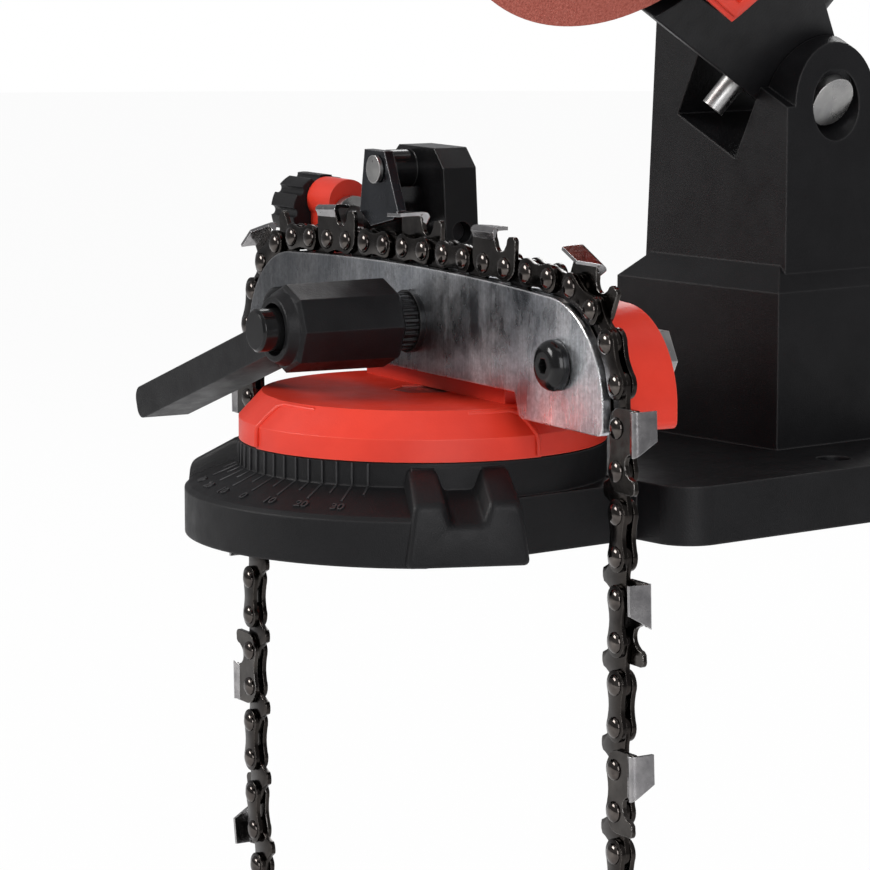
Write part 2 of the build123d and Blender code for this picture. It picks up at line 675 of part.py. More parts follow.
with BuildPart() as rail_screws:
    for place in rail_screw_places:
        with BuildSketch(upright(-front_rail_front - CLAMP_TRAVEL)):
            with Locations(place):
                Circle(RAIL_SCREW_HEAD_R)
        extrude(amount=RAIL_SCREW_HEAD_H)
        with BuildSketch(upright(BODY_REAR)):
            with Locations(place):
                Circle(RAIL_SCREW_R)
        extrude(amount=BODY_REAR + front_rail_front + CLAMP_TRAVEL)
    crowns = rail_screws.faces().sort_by(Axis(TABLE, REAR_DIR))[:2].edges()
    fillet(crowns, RAIL_SCREW_HEAD_H * 0.75)
    with BuildSketch(upright(-front_rail_front - CLAMP_TRAVEL - RAIL_SCREW_HEAD_H)):
        with Locations(*rail_screw_places):
            RegularPolygon(RAIL_SCREW_SOCKET_R, 6)
    extrude(amount=-RAIL_SCREW_SOCKET_DEPTH, mode=Mode.SUBTRACT)
finish(rail_screws.part, "rail_screws")

with BuildPart() as clamp_stud:
    with BuildSketch(upright(BODY_REAR)):
        with Locations((0, CLAMP_Z)):
            Circle(STUD_R)
    extrude(amount=BODY_REAR + STUD_FRONT)
finish(clamp_stud.part, "clamp_stud")

with BuildPart() as stud_nuts:
    for place in [(0, CLAMP_Z)] + rail_screw_places:
        with BuildSketch(upright(BODY_REAR + STUD_NUT_H)):
            with Locations(place):
                RegularPolygon(STUD_NUT_R, 6)
        extrude(amount=STUD_NUT_H)
finish(stud_nuts.part, "rear_nuts")


# ---------------------------------------------------------------- clamp lever
washer_front = front_rail_front + CLAMP_WASHER_T
collar_front = washer_front + COLLAR_L
lever_rear = collar_front + SEAT_GAP
boss_start = LEVER_HUB_FRONT - LEVER_SOCKET_DEPTH
finish(turned(upright(-front_rail_front), (0, CLAMP_Z), LEVER_WASHER_R, CLAMP_WASHER_T,
              STUD_R + SEAT_GAP), "lever_washer")

with BuildPart() as lever_sleeve:
    with BuildSketch(upright(-washer_front)):
        with Locations((0, CLAMP_Z)):
            Circle(COLLAR_R)
            with PolarLocations(COLLAR_R, COLLAR_TEETH):
                Circle(COLLAR_TOOTH_R, mode=Mode.SUBTRACT)
    extrude(amount=COLLAR_L)
    with BuildSketch(upright(-collar_front)):
        with Locations((0, CLAMP_Z)):
            Circle(SLEEVE_R)
    extrude(amount=SLEEVE_END - collar_front)
    with BuildSketch(upright(-washer_front)):
        with Locations((0, CLAMP_Z)):
            Circle(STUD_R + RUN_FIT)
    extrude(amount=STUD_FRONT - washer_front + SEAT_GAP, mode=Mode.SUBTRACT)
finish(lever_sleeve.part, "lever_sleeve")

with BuildPart() as lever_handle:
    with BuildSketch(upright(-lever_rear)):
        with Locations((0, CLAMP_Z)):
            RegularPolygon(LEVER_HUB_REAR_R, 8)
    with BuildSketch(upright(-LEVER_FACE)):
        with Locations((0, CLAMP_Z)):
            RegularPolygon(LEVER_HUB_FRONT_R, 8)
    loft()
    hub_ends = lever_handle.faces().filter_by(Axis(TABLE, REAR_DIR)).edges()
    chamfer(hub_ends, length=LEVER_HUB_BEVEL)
    with BuildSketch(upright(-LEVER_FACE)):
        with Locations((0, CLAMP_Z)):
            Circle(LEVER_LIP_R)
    with BuildSketch(upright(-LEVER_HUB_FRONT)):
        with Locations((0, CLAMP_Z)):
            Circle(LEVER_LIP_FRONT_R)
    loft()
    fillet(lever_handle.faces().sort_by(Axis(TABLE, REAR_DIR))[0].edges(), LEVER_LIP_EDGE)
    arm_end_x = LEVER_ARM_L * cos(radians(LEVER_SLOPE))
    arm_end_z = CLAMP_Z + LEVER_ARM_L * sin(radians(LEVER_SLOPE))
    with BuildSketch(upright(-(LEVER_ARM_FRONT - LEVER_ARM_T))):
        with Locations(Location((arm_end_x / 2, (CLAMP_Z + arm_end_z) / 2, 0), LEVER_SLOPE)):
            RectangleRounded(LEVER_ARM_L + LEVER_ARM_W, LEVER_ARM_W, LEVER_ARM_W / 2 - 1)
    extrude(amount=LEVER_ARM_T)
    with BuildSketch(upright(-lever_rear)):
        with Locations((0, CLAMP_Z)):
            Circle(SLEEVE_R + RUN_FIT)
    extrude(amount=boss_start - lever_rear, mode=Mode.SUBTRACT)
    with BuildSketch(upright(-boss_start)):
        with Locations((0, CLAMP_Z)):
            Circle(LEVER_SOCKET_R)
    extrude(amount=LEVER_ARM_T, mode=Mode.SUBTRACT)
finish(lever_handle.part, "lever_handle")

with BuildPart() as lever_cap:
    with BuildSketch(upright(-SLEEVE_END)):
        with Locations((0, CLAMP_Z)):
            Circle(BOSS_R)
    extrude(amount=LEVER_HUB_FRONT + BOSS_PROUD - SLEEVE_END)
    chamfer(lever_cap.faces().sort_by(Axis(TABLE, REAR_DIR))[0].edges(), length=0.6)
finish(lever_cap.part, "lever_cap_screw")


# ---------------------------------------------------------------- chain stop
stop_axis = (-STOP_AXIS_DEPTH, STOP_AXIS_Z)
carriage_foot_z = RAIL_SHOULDER_Z + RAIL_CROWN - BODY_INSET + SEAT_GAP
carriage_front = STOP_AXIS_DEPTH - STOP_CARRIAGE_HALF_T
pawl_back = PAWL_DEPTH + PAWL_T / 2
pawl_rest_z = RAIL_SHOULDER_Z + RAIL_CROWN + RIVET_RISE + STRAP_R + SEAT_GAP

with BuildPart() as stop_screw:
    add(turned(across(STOP_LUG_X0 - SEAT_GAP), stop_axis, STOP_SCREW_R, -(STOP_SCREW_END - STOP_LUG_X0)))
    with BuildSketch(across(STOP_LUG_X0 - SEAT_GAP)):
        with Locations(stop_axis):
            Circle(STOP_KNOB_R)
            with PolarLocations(STOP_KNOB_R, STOP_KNOB_FLUTES):
                Circle(STOP_KNOB_FLUTE_R, mode=Mode.SUBTRACT)
    extrude(amount=STOP_KNOB_L)
    chamfer(stop_screw.faces().sort_by(Axis(TABLE, RAIL_DIR))[0].outer_wire().edges(), length=0.8)
finish(stop_screw.part, "stop_screw")

finish(turned(across(STOP_LUG_X1 + 2 * SEAT_GAP), stop_axis, STOP_SCREW_R * 2, -STOP_SCREW_R,
              STOP_SCREW_R), "stop_screw_collar")

with BuildPart() as stop_carriage:
    with BuildSketch(upright(STOP_AXIS_DEPTH + STOP_CARRIAGE_HALF_T)):
        with BuildLine():
            Polyline(
                (STOP_CARRIAGE_X0, carriage_foot_z), (STOP_CARRIAGE_X1 + 2, carriage_foot_z),
                (STOP_CARRIAGE_X1, STOP_CARRIAGE_TOP - PAWL_BOSS_R),
                (STOP_CARRIAGE_X1 - PAWL_BOSS_R, STOP_CARRIAGE_TOP),
                (PAWL_PIN_X - PAWL_BOSS_R, STOP_CARRIAGE_TOP),
                (STOP_CARRIAGE_X0, STOP_AXIS_Z + STOP_SCREW_R * 2), close=True,
            )
        make_face()
    extrude(amount=2 * STOP_CARRIAGE_HALF_T)
    with BuildSketch(upright(carriage_front)):
        with Locations((PAWL_PIN_X, PAWL_PIN_Z)):
            Circle(PAWL_BOSS_R)
    extrude(amount=carriage_front - pawl_back - SEAT_GAP)
    with BuildSketch(across(STOP_CARRIAGE_X0 - 1)):
        with Locations(stop_axis):
            Circle(STOP_SCREW_R + RUN_FIT)
    extrude(amount=-(STOP_CARRIAGE_X1 - STOP_CARRIAGE_X0 + 4), mode=Mode.SUBTRACT)
    with BuildSketch(upright(STOP_AXIS_DEPTH + STOP_CARRIAGE_HALF_T)):
        with Locations((PAWL_PIN_X, PAWL_PIN_Z)):
            Circle(PAWL_PIN_R)
    extrude(amount=BODY_REAR + STOP_AXIS_DEPTH, mode=Mode.SUBTRACT)
finish(stop_carriage.part, "stop_carriage")

with BuildPart() as pawl_pin:
    add(turned(upright(STOP_AXIS_DEPTH + STOP_CARRIAGE_HALF_T), (PAWL_PIN_X, PAWL_PIN_Z), PAWL_PIN_R,
               STOP_AXIS_DEPTH + STOP_CARRIAGE_HALF_T - PAWL_DEPTH + PAWL_T / 2 + SEAT_GAP))
    add(turned(upright(PAWL_DEPTH - PAWL_T / 2 - SEAT_GAP), (PAWL_PIN_X, PAWL_PIN_Z),
               PAWL_PIN_R * 1.7, PAWL_PIN_R / 2))
finish(pawl_pin.part, "pawl_pin")

# plate that drops behind a cutter's heel
with BuildPart() as pawl:
    with BuildSketch(upright(pawl_back)):
        with BuildLine():
            Polyline(
                (PAWL_PIN_X - PAWL_HEEL, PAWL_PIN_Z + PAWL_CREST),
                (PAWL_PIN_X - PAWL_BACK, pawl_rest_z + PAWL_RAKE),
                (PAWL_PIN_X - PAWL_TOE, pawl_rest_z),
                (PAWL_PIN_X + PAWL_FOOT, pawl_rest_z + PAWL_FOOT_RISE),
                (PAWL_PIN_X + PAWL_NOSE, pawl_rest_z + PAWL_NOSE_RISE),
                (PAWL_PIN_X + PAWL_FOOT, PAWL_PIN_Z - PAWL_CREST),
                (PAWL_PIN_X + PAWL_TOE, PAWL_PIN_Z + PAWL_CREST), close=True,
            )
        make_face()
        with Locations((PAWL_PIN_X, PAWL_PIN_Z)):
            Circle(PAWL_PIN_R + RUN_FIT, mode=Mode.SUBTRACT)
    extrude(amount=PAWL_T)
finish(pawl.part, "pawl")


# ---------------------------------------------------------------- saw chain
# The rivet line runs over the rails' crown, round their ends, straight down
# and closes in a rounded loop. Its length is a whole number of links.
rivet_end_r = RAIL_END_R + RIVET_RISE
strand_x = RAIL_FLAT_HALF + rivet_end_r

with BuildLine() as crown_line:
    ThreePointArc(
        (-RAIL_FLAT_HALF, RAIL_SHOULDER_Z + RIVET_RISE), (0, RAIL_SHOULDER_Z + RAIL_CROWN + RIVET_RISE),
        (RAIL_FLAT_HALF, RAIL_SHOULDER_Z + RIVET_RISE),
    )
with BuildLine() as loop_line:
    EllipticalCenterArc((0, 0), strand_x, LOOP_DROP, start_angle=0, arc_size=-180)

chain_length = 2 * DRIVE_LINKS * HALF_PITCH
strand_length = (chain_length - crown_line.wire().length - pi * rivet_end_r - loop_line.wire().length) / 2
loop_z = end_centre_z - strand_length

with BuildLine() as rivet_line:
    ThreePointArc(
        (-RAIL_FLAT_HALF, RAIL_SHOULDER_Z + RIVET_RISE), (0, RAIL_SHOULDER_Z + RAIL_CROWN + RIVET_RISE),
        (RAIL_FLAT_HALF, RAIL_SHOULDER_Z + RIVET_RISE),
    )
    RadiusArc((RAIL_FLAT_HALF, RAIL_SHOULDER_Z + RIVET_RISE), (strand_x, end_centre_z), rivet_end_r)
    Line((strand_x, end_centre_z), (strand_x, loop_z))
    EllipticalCenterArc((0, loop_z), strand_x, LOOP_DROP, start_angle=0, arc_size=-180)
    Line((-strand_x, loop_z), (-strand_x, end_centre_z))
    RadiusArc((-strand_x, end_centre_z), (-RAIL_FLAT_HALF, RAIL_SHOULDER_Z + RIVET_RISE), rivet_end_r)


def rivet(index):
    """A rivet's place on the upright plane, counted from the stopped cutter's front rivet."""
    travelled = RAIL_FLAT_HALF + STOPPED_RIVET_X + index * HALF_PITCH
    return rivet_line.wire().position_at(travelled % chain_length, position_mode=PositionMode.LENGTH)


def link_place(index):
    """Middle and direction of the link that runs forward from a rivet."""
    here, ahead = rivet(index), rivet(index + 1)
    turn = Vector(1, 0, 0).get_signed_angle(ahead - here, UP)
    return Location((here + ahead) * 0.5, (0, 0, turn))


lobe_x = HALF_PITCH / 2
side_near = -(LINK_GAUGE + LINK_GAP) / 2
side_far = -side_near + SIDE_LINK_T
heel_x = -lobe_x - CUTTER_OVERHANG
toe_x = lobe_x + CUTTER_OVERHANG


def link_plate(lobe_r, waist):
    """Outline of a link that lies along X about its middle."""
    with BuildSketch(Plane.XY) as plate:
        with Locations((-lobe_x, 0), (lobe_x, 0)):
            RegularPolygon(lobe_r, 8, rotation=22.5)
        Rectangle(2 * lobe_x, 2 * waist)
    return plate.sketch


def cutter_plate():
    """Outline of a cutter's side: strap, upright behind the gullet, depth gauge ahead of it."""
    with BuildSketch(Plane.XY) as plate:
        add(link_plate(STRAP_R, STRAP_R * cos(radians(22.5))))
        with BuildLine():
            Polyline(
                (heel_x + 1.5, -1), (heel_x, 1.5), (heel_x, CUTTER_HEIGHT - 0.6),
                (CUTTER_EDGE_X - 0.8, CUTTER_HEIGHT - 0.2), (CUTTER_EDGE_X - 1.6, GULLET_HEIGHT + 1.2),
                (CUTTER_EDGE_X, GULLET_HEIGHT - 0.6), (GAUGE_X - 1, GULLET_HEIGHT - 0.6),
                (GAUGE_X, GAUGE_HEIGHT - 1.2), (GAUGE_X + 1.2, GAUGE_HEIGHT),
                (toe_x - 1, GAUGE_HEIGHT - 0.6), (toe_x, 1.5), (toe_x - 1.5, -1), close=True,
            )
        make_face()
    return plate.sketch


def top_plate(hand):
    """Cross-section of a cutter's roof; hand is +1 when its side plate is on the operator's side."""
    outer = -hand * side_far
    return [
        (outer - hand * CUTTER_FLARE, CUTTER_HEIGHT - CUTTER_PLATE_T * 1.6), (outer, CUTTER_HEIGHT),
        (outer + hand * CUTTER_PLATE_W, CUTTER_HEIGHT - 0.2),
        (outer + hand * CUTTER_PLATE_W, CUTTER_HEIGHT - 0.2 - CUTTER_PLATE_T),
        (outer + hand * SIDE_LINK_T, CUTTER_HEIGHT - CUTTER_PLATE_T),
    ]


# side links sit on rivets 2k-1 and 2k, drive links on rivets 2k and 2k+1
far_cutters = [link_place(2 * k - 1) for k in range(DRIVE_LINKS) if k % LINK_PATTERN == 0]
near_cutters = [link_place(2 * k - 1) for k in range(DRIVE_LINKS) if k % LINK_PATTERN == 2]
far_straps = [link_place(2 * k - 1) for k in range(DRIVE_LINKS) if k % LINK_PATTERN != 0]
near_straps = [link_place(2 * k - 1) for k in range(DRIVE_LINKS) if k % LINK_PATTERN != 2]

with BuildPart() as chain_drive_links:
    with BuildSketch(upright(LINK_GAUGE / 2)):
        with Locations(*[link_place(2 * k) for k in range(DRIVE_LINKS)]):
            add(link_plate(LINK_END_R, LINK_END_R * cos(radians(22.5))))
            Polygon(
                (-lobe_x, 0), (-lobe_x + 0.6, -STRAP_R), (-1.6, -TANG_DEPTH), (1.8, -TANG_DEPTH),
                (lobe_x - 0.6, -STRAP_R), (lobe_x, 0), align=None,
            )
    extrude(amount=LINK_GAUGE)
finish(chain_drive_links.part, "chain_drive_links")

with BuildPart() as chain_tie_straps:
    with BuildSketch(upright(side_near)):
        with Locations(*near_straps):
            add(link_plate(STRAP_R, STRAP_WAIST))
    extrude(amount=SIDE_LINK_T)
    with BuildSketch(upright(side_far)):
        with Locations(*far_straps):
            add(link_plate(STRAP_R, STRAP_WAIST))
    extrude(amount=SIDE_LINK_T)
finish(chain_tie_straps.part, "chain_tie_straps")

roof_place = Plane(origin=(heel_x, 0, 0), x_dir=(0, 0, -1), z_dir=(1, 0, 0)).location
with BuildPart() as chain_cutters:
    for hand, places, depth in ((1, near_cutters, side_near), (-1, far_cutters, side_far)):
        with BuildSketch(upright(depth)):
            with Locations(*places):
                add(cutter_plate())
        extrude(amount=SIDE_LINK_T)
        for place in places:
            with BuildSketch(Plane(upright(0).location * place * roof_place)):
                Polygon(*top_plate(hand), align=None)
            extrude(amount=CUTTER_EDGE_X - heel_x)
finish(chain_cutters.part, "chain_cutters")


# ---------------------------------------------------------------- head
arm_start = FORK_MID - FORK_HALF_W + SEAT_GAP
arm_end = arm_start + ARM_T
arm_mid = (arm_start + arm_end) / 2
motor_start = GUARD_BACK + MOTOR_SEAT_T
shell_end = motor_start + MOTOR_SHELL_L
cap_end = shell_end + MOTOR_CAP_L
skirt_g = WHEEL_RISE - GUARD_SKIRT
cavity_r = GUARD_R - GUARD_WALL
cavity_back = GUARD_BACK - GUARD_WALL
knuckle_r = GUARD_R + SHIELD_KNUCKLE_R
knuckle_place = (WHEEL_FORE + knuckle_r * cos(radians(SHIELD_BEARING)),
                 WHEEL_RISE + knuckle_r * sin(radians(SHIELD_BEARING)))
cover_screw_places = [
    (WHEEL_FORE + COVER_BOSS_RING_R * cos(radians(bearing)),
     WHEEL_RISE + COVER_BOSS_RING_R * sin(radians(bearing)))
    for bearing in COVER_SCREW_BEARINGS
]
handle_dir = FORE_DIR * cos(radians(HANDLE_BEARING)) + RISE_DIR * sin(radians(HANDLE_BEARING))
wheel_hub = HINGE + FORE_DIR * WHEEL_FORE + RISE_DIR * WHEEL_RISE


def handle_plane(reach):
    """Plane square to the handle, facing out, that far from the wheel's axis."""
    middle = wheel_hub + AXIS_DIR * (GUARD_BACK - GUARD_FRONT) / 2
    return Plane(origin=middle + handle_dir * reach, x_dir=AXIS_DIR, z_dir=handle_dir)


def guard_face(boss_r):
    """Round of the wheel guard, cut off along its lower edge, with its screw bosses."""
    with BuildSketch(Plane.XY) as face:
        with Locations(WHEEL_CENTRE):
            Circle(GUARD_R)
        with Locations(*cover_screw_places):
            Circle(boss_r)
        with Locations((WHEEL_FORE, skirt_g - GUARD_R)):
            Rectangle(4 * GUARD_R, 2 * GUARD_R, mode=Mode.SUBTRACT)
    return face.sketch


def stop_plane(height):
    """Plane square to the depth stop, facing up along it."""
    middle = HINGE + AXIS_DIR * arm_mid + FORE_DIR * STOP_BOLT_FORE
    return Plane(origin=middle + RISE_DIR * height, x_dir=AXIS_DIR, z_dir=RISE_DIR)


with BuildPart() as head_frame:
    with BuildSketch(head(-GUARD_FRONT)):
        add(guard_face(COVER_BOSS_R))
    extrude(amount=GUARD_FRONT + GUARD_BACK)
    with BuildSketch(head(arm_start)) as arm_face:
        Circle(BARREL_R)
        with Locations(WHEEL_CENTRE):
            Circle(MOTOR_FLANGE_R)
        make_hull()
    extrude(amount=ARM_T)
    add(turned(head(GUARD_BACK), WHEEL_CENTRE, MOTOR_FLANGE_R, MOTOR_SEAT_T))
    add(turned(stop_plane(0), (0, 0), STOP_BOSS_R, STOP_BOSS_TOP))
    # handle pad on the guard, spark shield's knuckle
    with BuildSketch(handle_plane(HANDLE_PAD_REACH)):
        Rectangle(GUARD_FRONT + GUARD_BACK, HANDLE_PAD_W)
    extrude(amount=-HANDLE_PAD_REACH)
    with BuildSketch(head(-SHIELD_KNUCKLE_HALF + SHIELD_STATION)):
        with Locations(knuckle_place):
            Circle(SHIELD_KNUCKLE_R)
        with Locations((knuckle_place[0] - SHIELD_KNUCKLE_R, knuckle_place[1])):
            Rectangle(2 * SHIELD_KNUCKLE_R, 2 * SHIELD_KNUCKLE_R)
    extrude(amount=2 * SHIELD_KNUCKLE_HALF)
    # wheel chamber, bearing seat and bores
    with BuildSketch(head(-GUARD_FRONT)):
        with Locations(WHEEL_CENTRE):
            Circle(cavity_r)
    extrude(amount=GUARD_FRONT + cavity_back, mode=Mode.SUBTRACT)
    with BuildSketch(head(0)):
        with Locations(WHEEL_CENTRE):
            Circle(BEARING_R)
    extrude(amount=motor_start, mode=Mode.SUBTRACT)
    with BuildSketch(head(arm_start)):
        Circle(HINGE_PIN_R + RUN_FIT)
    extrude(amount=ARM_T, mode=Mode.SUBTRACT)
    with BuildSketch(head(-GUARD_FRONT)):
        with Locations(*cover_screw_places):
            Circle(COVER_SCREW_R)
    extrude(amount=COVER_SCREW_GRIP, mode=Mode.SUBTRACT)
    with BuildSketch(head(-GUARD_FRONT)):
        with Locations(knuckle_place):
            Circle(SHIELD_PIN_R)
    extrude(amount=GUARD_FRONT + GUARD_BACK, mode=Mode.SUBTRACT)
    with BuildSketch(handle_plane(HANDLE_PAD_REACH)):
        Circle(HANDLE_STUD_R)
    extrude(amount=-HANDLE_STUD_L, mode=Mode.SUBTRACT)
    # the depth stop's bore, down through the arm
    with BuildSketch(stop_plane(0)):
        Circle(STOP_BOLT_R + RUN_FIT)
    extrude(amount=STOP_BOLT_TOP, both=True, mode=Mode.SUBTRACT)
finish(head_frame.part, "head_frame")

with BuildPart() as wheel_cover:
    with BuildSketch(head(-GUARD_FRONT - COVER_T)):
        add(guard_face(COVER_BOSS_R))
        with Locations(*cover_screw_places):
            Circle(COVER_SCREW_R, mode=Mode.SUBTRACT)
    extrude(amount=COVER_T)
finish(wheel_cover.part, "wheel_cover")

with BuildPart() as cover_screws:
    for place in cover_screw_places:
        add(turned(head(-GUARD_FRONT - COVER_T), place, COVER_SCREW_R, COVER_T + COVER_SCREW_GRIP))
        add(turned(head(-GUARD_FRONT - COVER_T), place, COVER_SCREW_HEAD_R, -COVER_SCREW_R))
finish(cover_screws.part, "cover_screws")

# spark shield on its pin
with BuildPart() as spark_shield:
    for start, end in ((-GUARD_FRONT, SHIELD_STATION - SHIELD_KNUCKLE_HALF - SEAT_GAP),
                       (SHIELD_STATION + SHIELD_KNUCKLE_HALF + SEAT_GAP, GUARD_BACK)):
        with BuildSketch(head(start)):
            with Locations(knuckle_place):
                Circle(SHIELD_KNUCKLE_R)
            with Locations((knuckle_place[0] + SHIELD_KNUCKLE_R - SHIELD_T / 2,
                            knuckle_place[1] - SHIELD_KNUCKLE_R)):
                Rectangle(SHIELD_T, 2 * SHIELD_KNUCKLE_R)
        extrude(amount=end - start)
    with BuildSketch(head(-GUARD_FRONT)):
        with Locations((knuckle_place[0] + SHIELD_KNUCKLE_R - SHIELD_T / 2,
                        knuckle_place[1] - SHIELD_KNUCKLE_R * 1.4 - SHIELD_L / 2)):
            Rectangle(SHIELD_T, SHIELD_L)
    extrude(amount=GUARD_FRONT + GUARD_BACK)
    with BuildSketch(head(-GUARD_FRONT)):
        with Locations(knuckle_place):
            Circle(SHIELD_PIN_R + RUN_FIT)
    extrude(amount=GUARD_FRONT + GUARD_BACK, mode=Mode.SUBTRACT)
finish(spark_shield.part, "spark_shield")

finish(turned(head(-GUARD_FRONT - SEAT_GAP), knuckle_place, SHIELD_PIN_R,
              GUARD_FRONT + GUARD_BACK + 2 * SEAT_GAP), "shield_pin")

# ---------------------------------------------------------------- spindle and wheel
half_wheel = WHEEL_T / 2
flange_end = half_wheel + FLANGE_DISC_T
spindle_start = -flange_end - SPINDLE_NUT_H - SEAT_GAP
bearing_start = motor_start - BEARING_L
rear_bearing_start = cap_end - CAP_END_T - BEARING_L

finish(turned(head(-half_wheel), WHEEL_CENTRE, WHEEL_R, WHEEL_T, WHEEL_BORE_R), "grinding_wheel")

with BuildPart() as inner_flange:
    add(turned(head(half_wheel), WHEEL_CENTRE, FLANGE_DISC_R, FLANGE_DISC_T))
    add(turned(head(-half_wheel), WHEEL_CENTRE, WHEEL_BORE_R, WHEEL_T))
    add(turned(head(flange_end), WHEEL_CENTRE, SPINDLE_HUB_R, bearing_start - SEAT_GAP - flange_end))
    with BuildSketch(head(-half_wheel)):
        with Locations(WHEEL_CENTRE):
            Circle(SHAFT_R)
    extrude(amount=GUARD_BACK + WHEEL_T, mode=Mode.SUBTRACT)
finish(inner_flange.part, "inner_wheel_flange")

finish(turned(head(-flange_end), WHEEL_CENTRE, FLANGE_DISC_R, FLANGE_DISC_T, SHAFT_R),
       "outer_wheel_flange")

with BuildPart() as spindle_nut:
    with BuildSketch(head(-flange_end)):
        with Locations(WHEEL_CENTRE):
            RegularPolygon(SPINDLE_NUT_R, 6)
            Circle(SHAFT_R, mode=Mode.SUBTRACT)
    extrude(amount=-SPINDLE_NUT_H)
finish(spindle_nut.part, "spindle_nut")

finish(turned(head(spindle_start), WHEEL_CENTRE, SHAFT_R, cap_end - CAP_END_T - spindle_start),
       "spindle_shaft")

finish(turned(head(bearing_start), WHEEL_CENTRE, BEARING_R, BEARING_L, SHAFT_R + RUN_FIT),
       "front_bearing")
finish(turned(head(rear_bearing_start), WHEEL_CENTRE, BEARING_R, BEARING_L, SHAFT_R + RUN_FIT),
       "rear_bearing")

with BuildPart() as cooling_fan:
    add(turned(head(FAN_START), WHEEL_CENTRE, FAN_R, FAN_PLATE_T))
    add(turned(head(FAN_START), WHEEL_CENTRE, SHAFT_R * 1.6, FAN_L))
    with BuildSketch(head(FAN_START)):
        with Locations(WHEEL_CENTRE):
            with PolarLocations(FAN_R * 0.64, FAN_BLADES):
                Rectangle(FAN_R * 0.68, FAN_PLATE_T)
    extrude(amount=FAN_L)
    with BuildSketch(head(FAN_START)):
        with Locations(WHEEL_CENTRE):
            Circle(SHAFT_R)
    extrude(amount=FAN_L, mode=Mode.SUBTRACT)
finish(cooling_fan.part, "cooling_fan")

finish(turned(head(ROTOR_START), WHEEL_CENTRE, ROTOR_R, ROTOR_L, SHAFT_R), "rotor")
finish(turned(head(COMMUTATOR_START), WHEEL_CENTRE, COMMUTATOR_R, COMMUTATOR_L, SHAFT_R), "commutator")

# ---------------------------------------------------------------- motor case
shell_in_r = MOTOR_R - MOTOR_WALL
finish(turned(head(ROTOR_START), WHEEL_CENTRE, shell_in_r, ROTOR_L, FIELD_IN_R), "field_ring")
finish(turned(head(COMMUTATOR_START), WHEEL_CENTRE, shell_in_r, COMMUTATOR_L, BRUSH_REACH),
       "brush_ring")

with BuildPart() as brushes:
    with BuildSketch(head(COMMUTATOR_START + (COMMUTATOR_L - BRUSH_W) / 2)):
        with Locations(WHEEL_CENTRE):
            with PolarLocations((COMMUTATOR_R + BRUSH_REACH) / 2, 2, start_angle=90):
                Rectangle(BRUSH_REACH - COMMUTATOR_R - 2 * SEAT_GAP, BRUSH_W)
    extrude(amount=BRUSH_W)
finish(brushes.part, "brushes")

with BuildPart() as motor_housing:
    add(turned(head(motor_start), WHEEL_CENTRE, MOTOR_R, MOTOR_SHELL_L, shell_in_r))
    with BuildSketch(head(motor_start + VENT_INSET)):
        with Locations(WHEEL_CENTRE):
            with PolarLocations(MOTOR_R, VENT_COUNT, start_angle=180 / VENT_COUNT):
                Rectangle(4 * MOTOR_WALL, VENT_W)
    extrude(amount=VENT_L, mode=Mode.SUBTRACT)
finish(motor_housing.part, "motor_housing")

with BuildPart() as motor_end_cap:
    add(turned(head(shell_end), WHEEL_CENTRE, MOTOR_CAP_R, MOTOR_CAP_L))
    chamfer(motor_end_cap.faces().sort_by(Axis(HINGE, AXIS_DIR))[-1].edges(), length=MOTOR_WALL)
    with BuildSketch(head(shell_end)):
        with Locations(WHEEL_CENTRE):
            Circle(MOTOR_CAP_R - MOTOR_WALL)
    extrude(amount=MOTOR_CAP_L - CAP_END_T, mode=Mode.SUBTRACT)
    add(turned(head(rear_bearing_start), WHEEL_CENTRE, BEARING_R + MOTOR_WALL, BEARING_L))
    with BuildSketch(head(rear_bearing_start)):
        with Locations(WHEEL_CENTRE):
            Circle(BEARING_R)
    extrude(amount=BEARING_L, mode=Mode.SUBTRACT)
    with BuildSketch(head(cap_end - CAP_END_T)):
        with Locations((WHEEL_FORE - GLAND_OFFSET, WHEEL_RISE)):
            Circle(GLAND_BORE_R)
    extrude(amount=CAP_END_T, mode=Mode.SUBTRACT)
finish(motor_end_cap.part, "motor_end_cap")

finish(turned(head(cap_end), (WHEEL_FORE - GLAND_OFFSET, WHEEL_RISE), GLAND_R, GLAND_L, GLAND_BORE_R),
       "cable_gland")

# switch on the motor's front side; its plane looks back at the machine, X along the motor
switch_mid = motor_start + SWITCH_START + SWITCH_BOX_L / 2
switch_plane = Plane(
    origin=head(switch_mid).from_local_coords(Vector(WHEEL_FORE + SWITCH_BOX_REACH, WHEEL_RISE, 0)),
    x_dir=AXIS_DIR, z_dir=FORE_DIR,
)
with BuildPart() as switch_box:
    with BuildSketch(switch_plane):
        RectangleRounded(SWITCH_BOX_L, SWITCH_BOX_W, 3)
    extrude(amount=-(SWITCH_BOX_REACH - MOTOR_R / 2))
    with BuildSketch(head(motor_start)):
        with Locations(WHEEL_CENTRE):
            Circle(MOTOR_R)
    extrude(amount=MOTOR_SHELL_L, mode=Mode.SUBTRACT)
    with BuildSketch(switch_plane):
        Rectangle(ROCKER_L + 2 * SEAT_GAP, ROCKER_W + 2 * SEAT_GAP)
    extrude(amount=-ROCKER_POCKET, mode=Mode.SUBTRACT)
finish(switch_box.part, "switch_box")

rocker_plane = Plane(origin=switch_plane.origin, x_dir=switch_plane.x_dir, z_dir=switch_plane.y_dir)
with BuildPart() as rocker_switch:
    with BuildSketch(rocker_plane):
        with Locations(Location((0, 0, 0), ROCKER_TILT)):
            Polygon(
                (-ROCKER_L / 2, 0), (-ROCKER_L / 2 + 3, ROCKER_DEPTH), (ROCKER_L / 2 - 3, ROCKER_DEPTH),
                (ROCKER_L / 2, 0), (ROCKER_L / 2 - 0.4, -1.6), (0, -0.4), (-ROCKER_L / 2 + 0.4, -1.6),
                align=None,
            )
    extrude(amount=ROCKER_W / 2, both=True)
finish(rocker_switch.part, "rocker_switch")

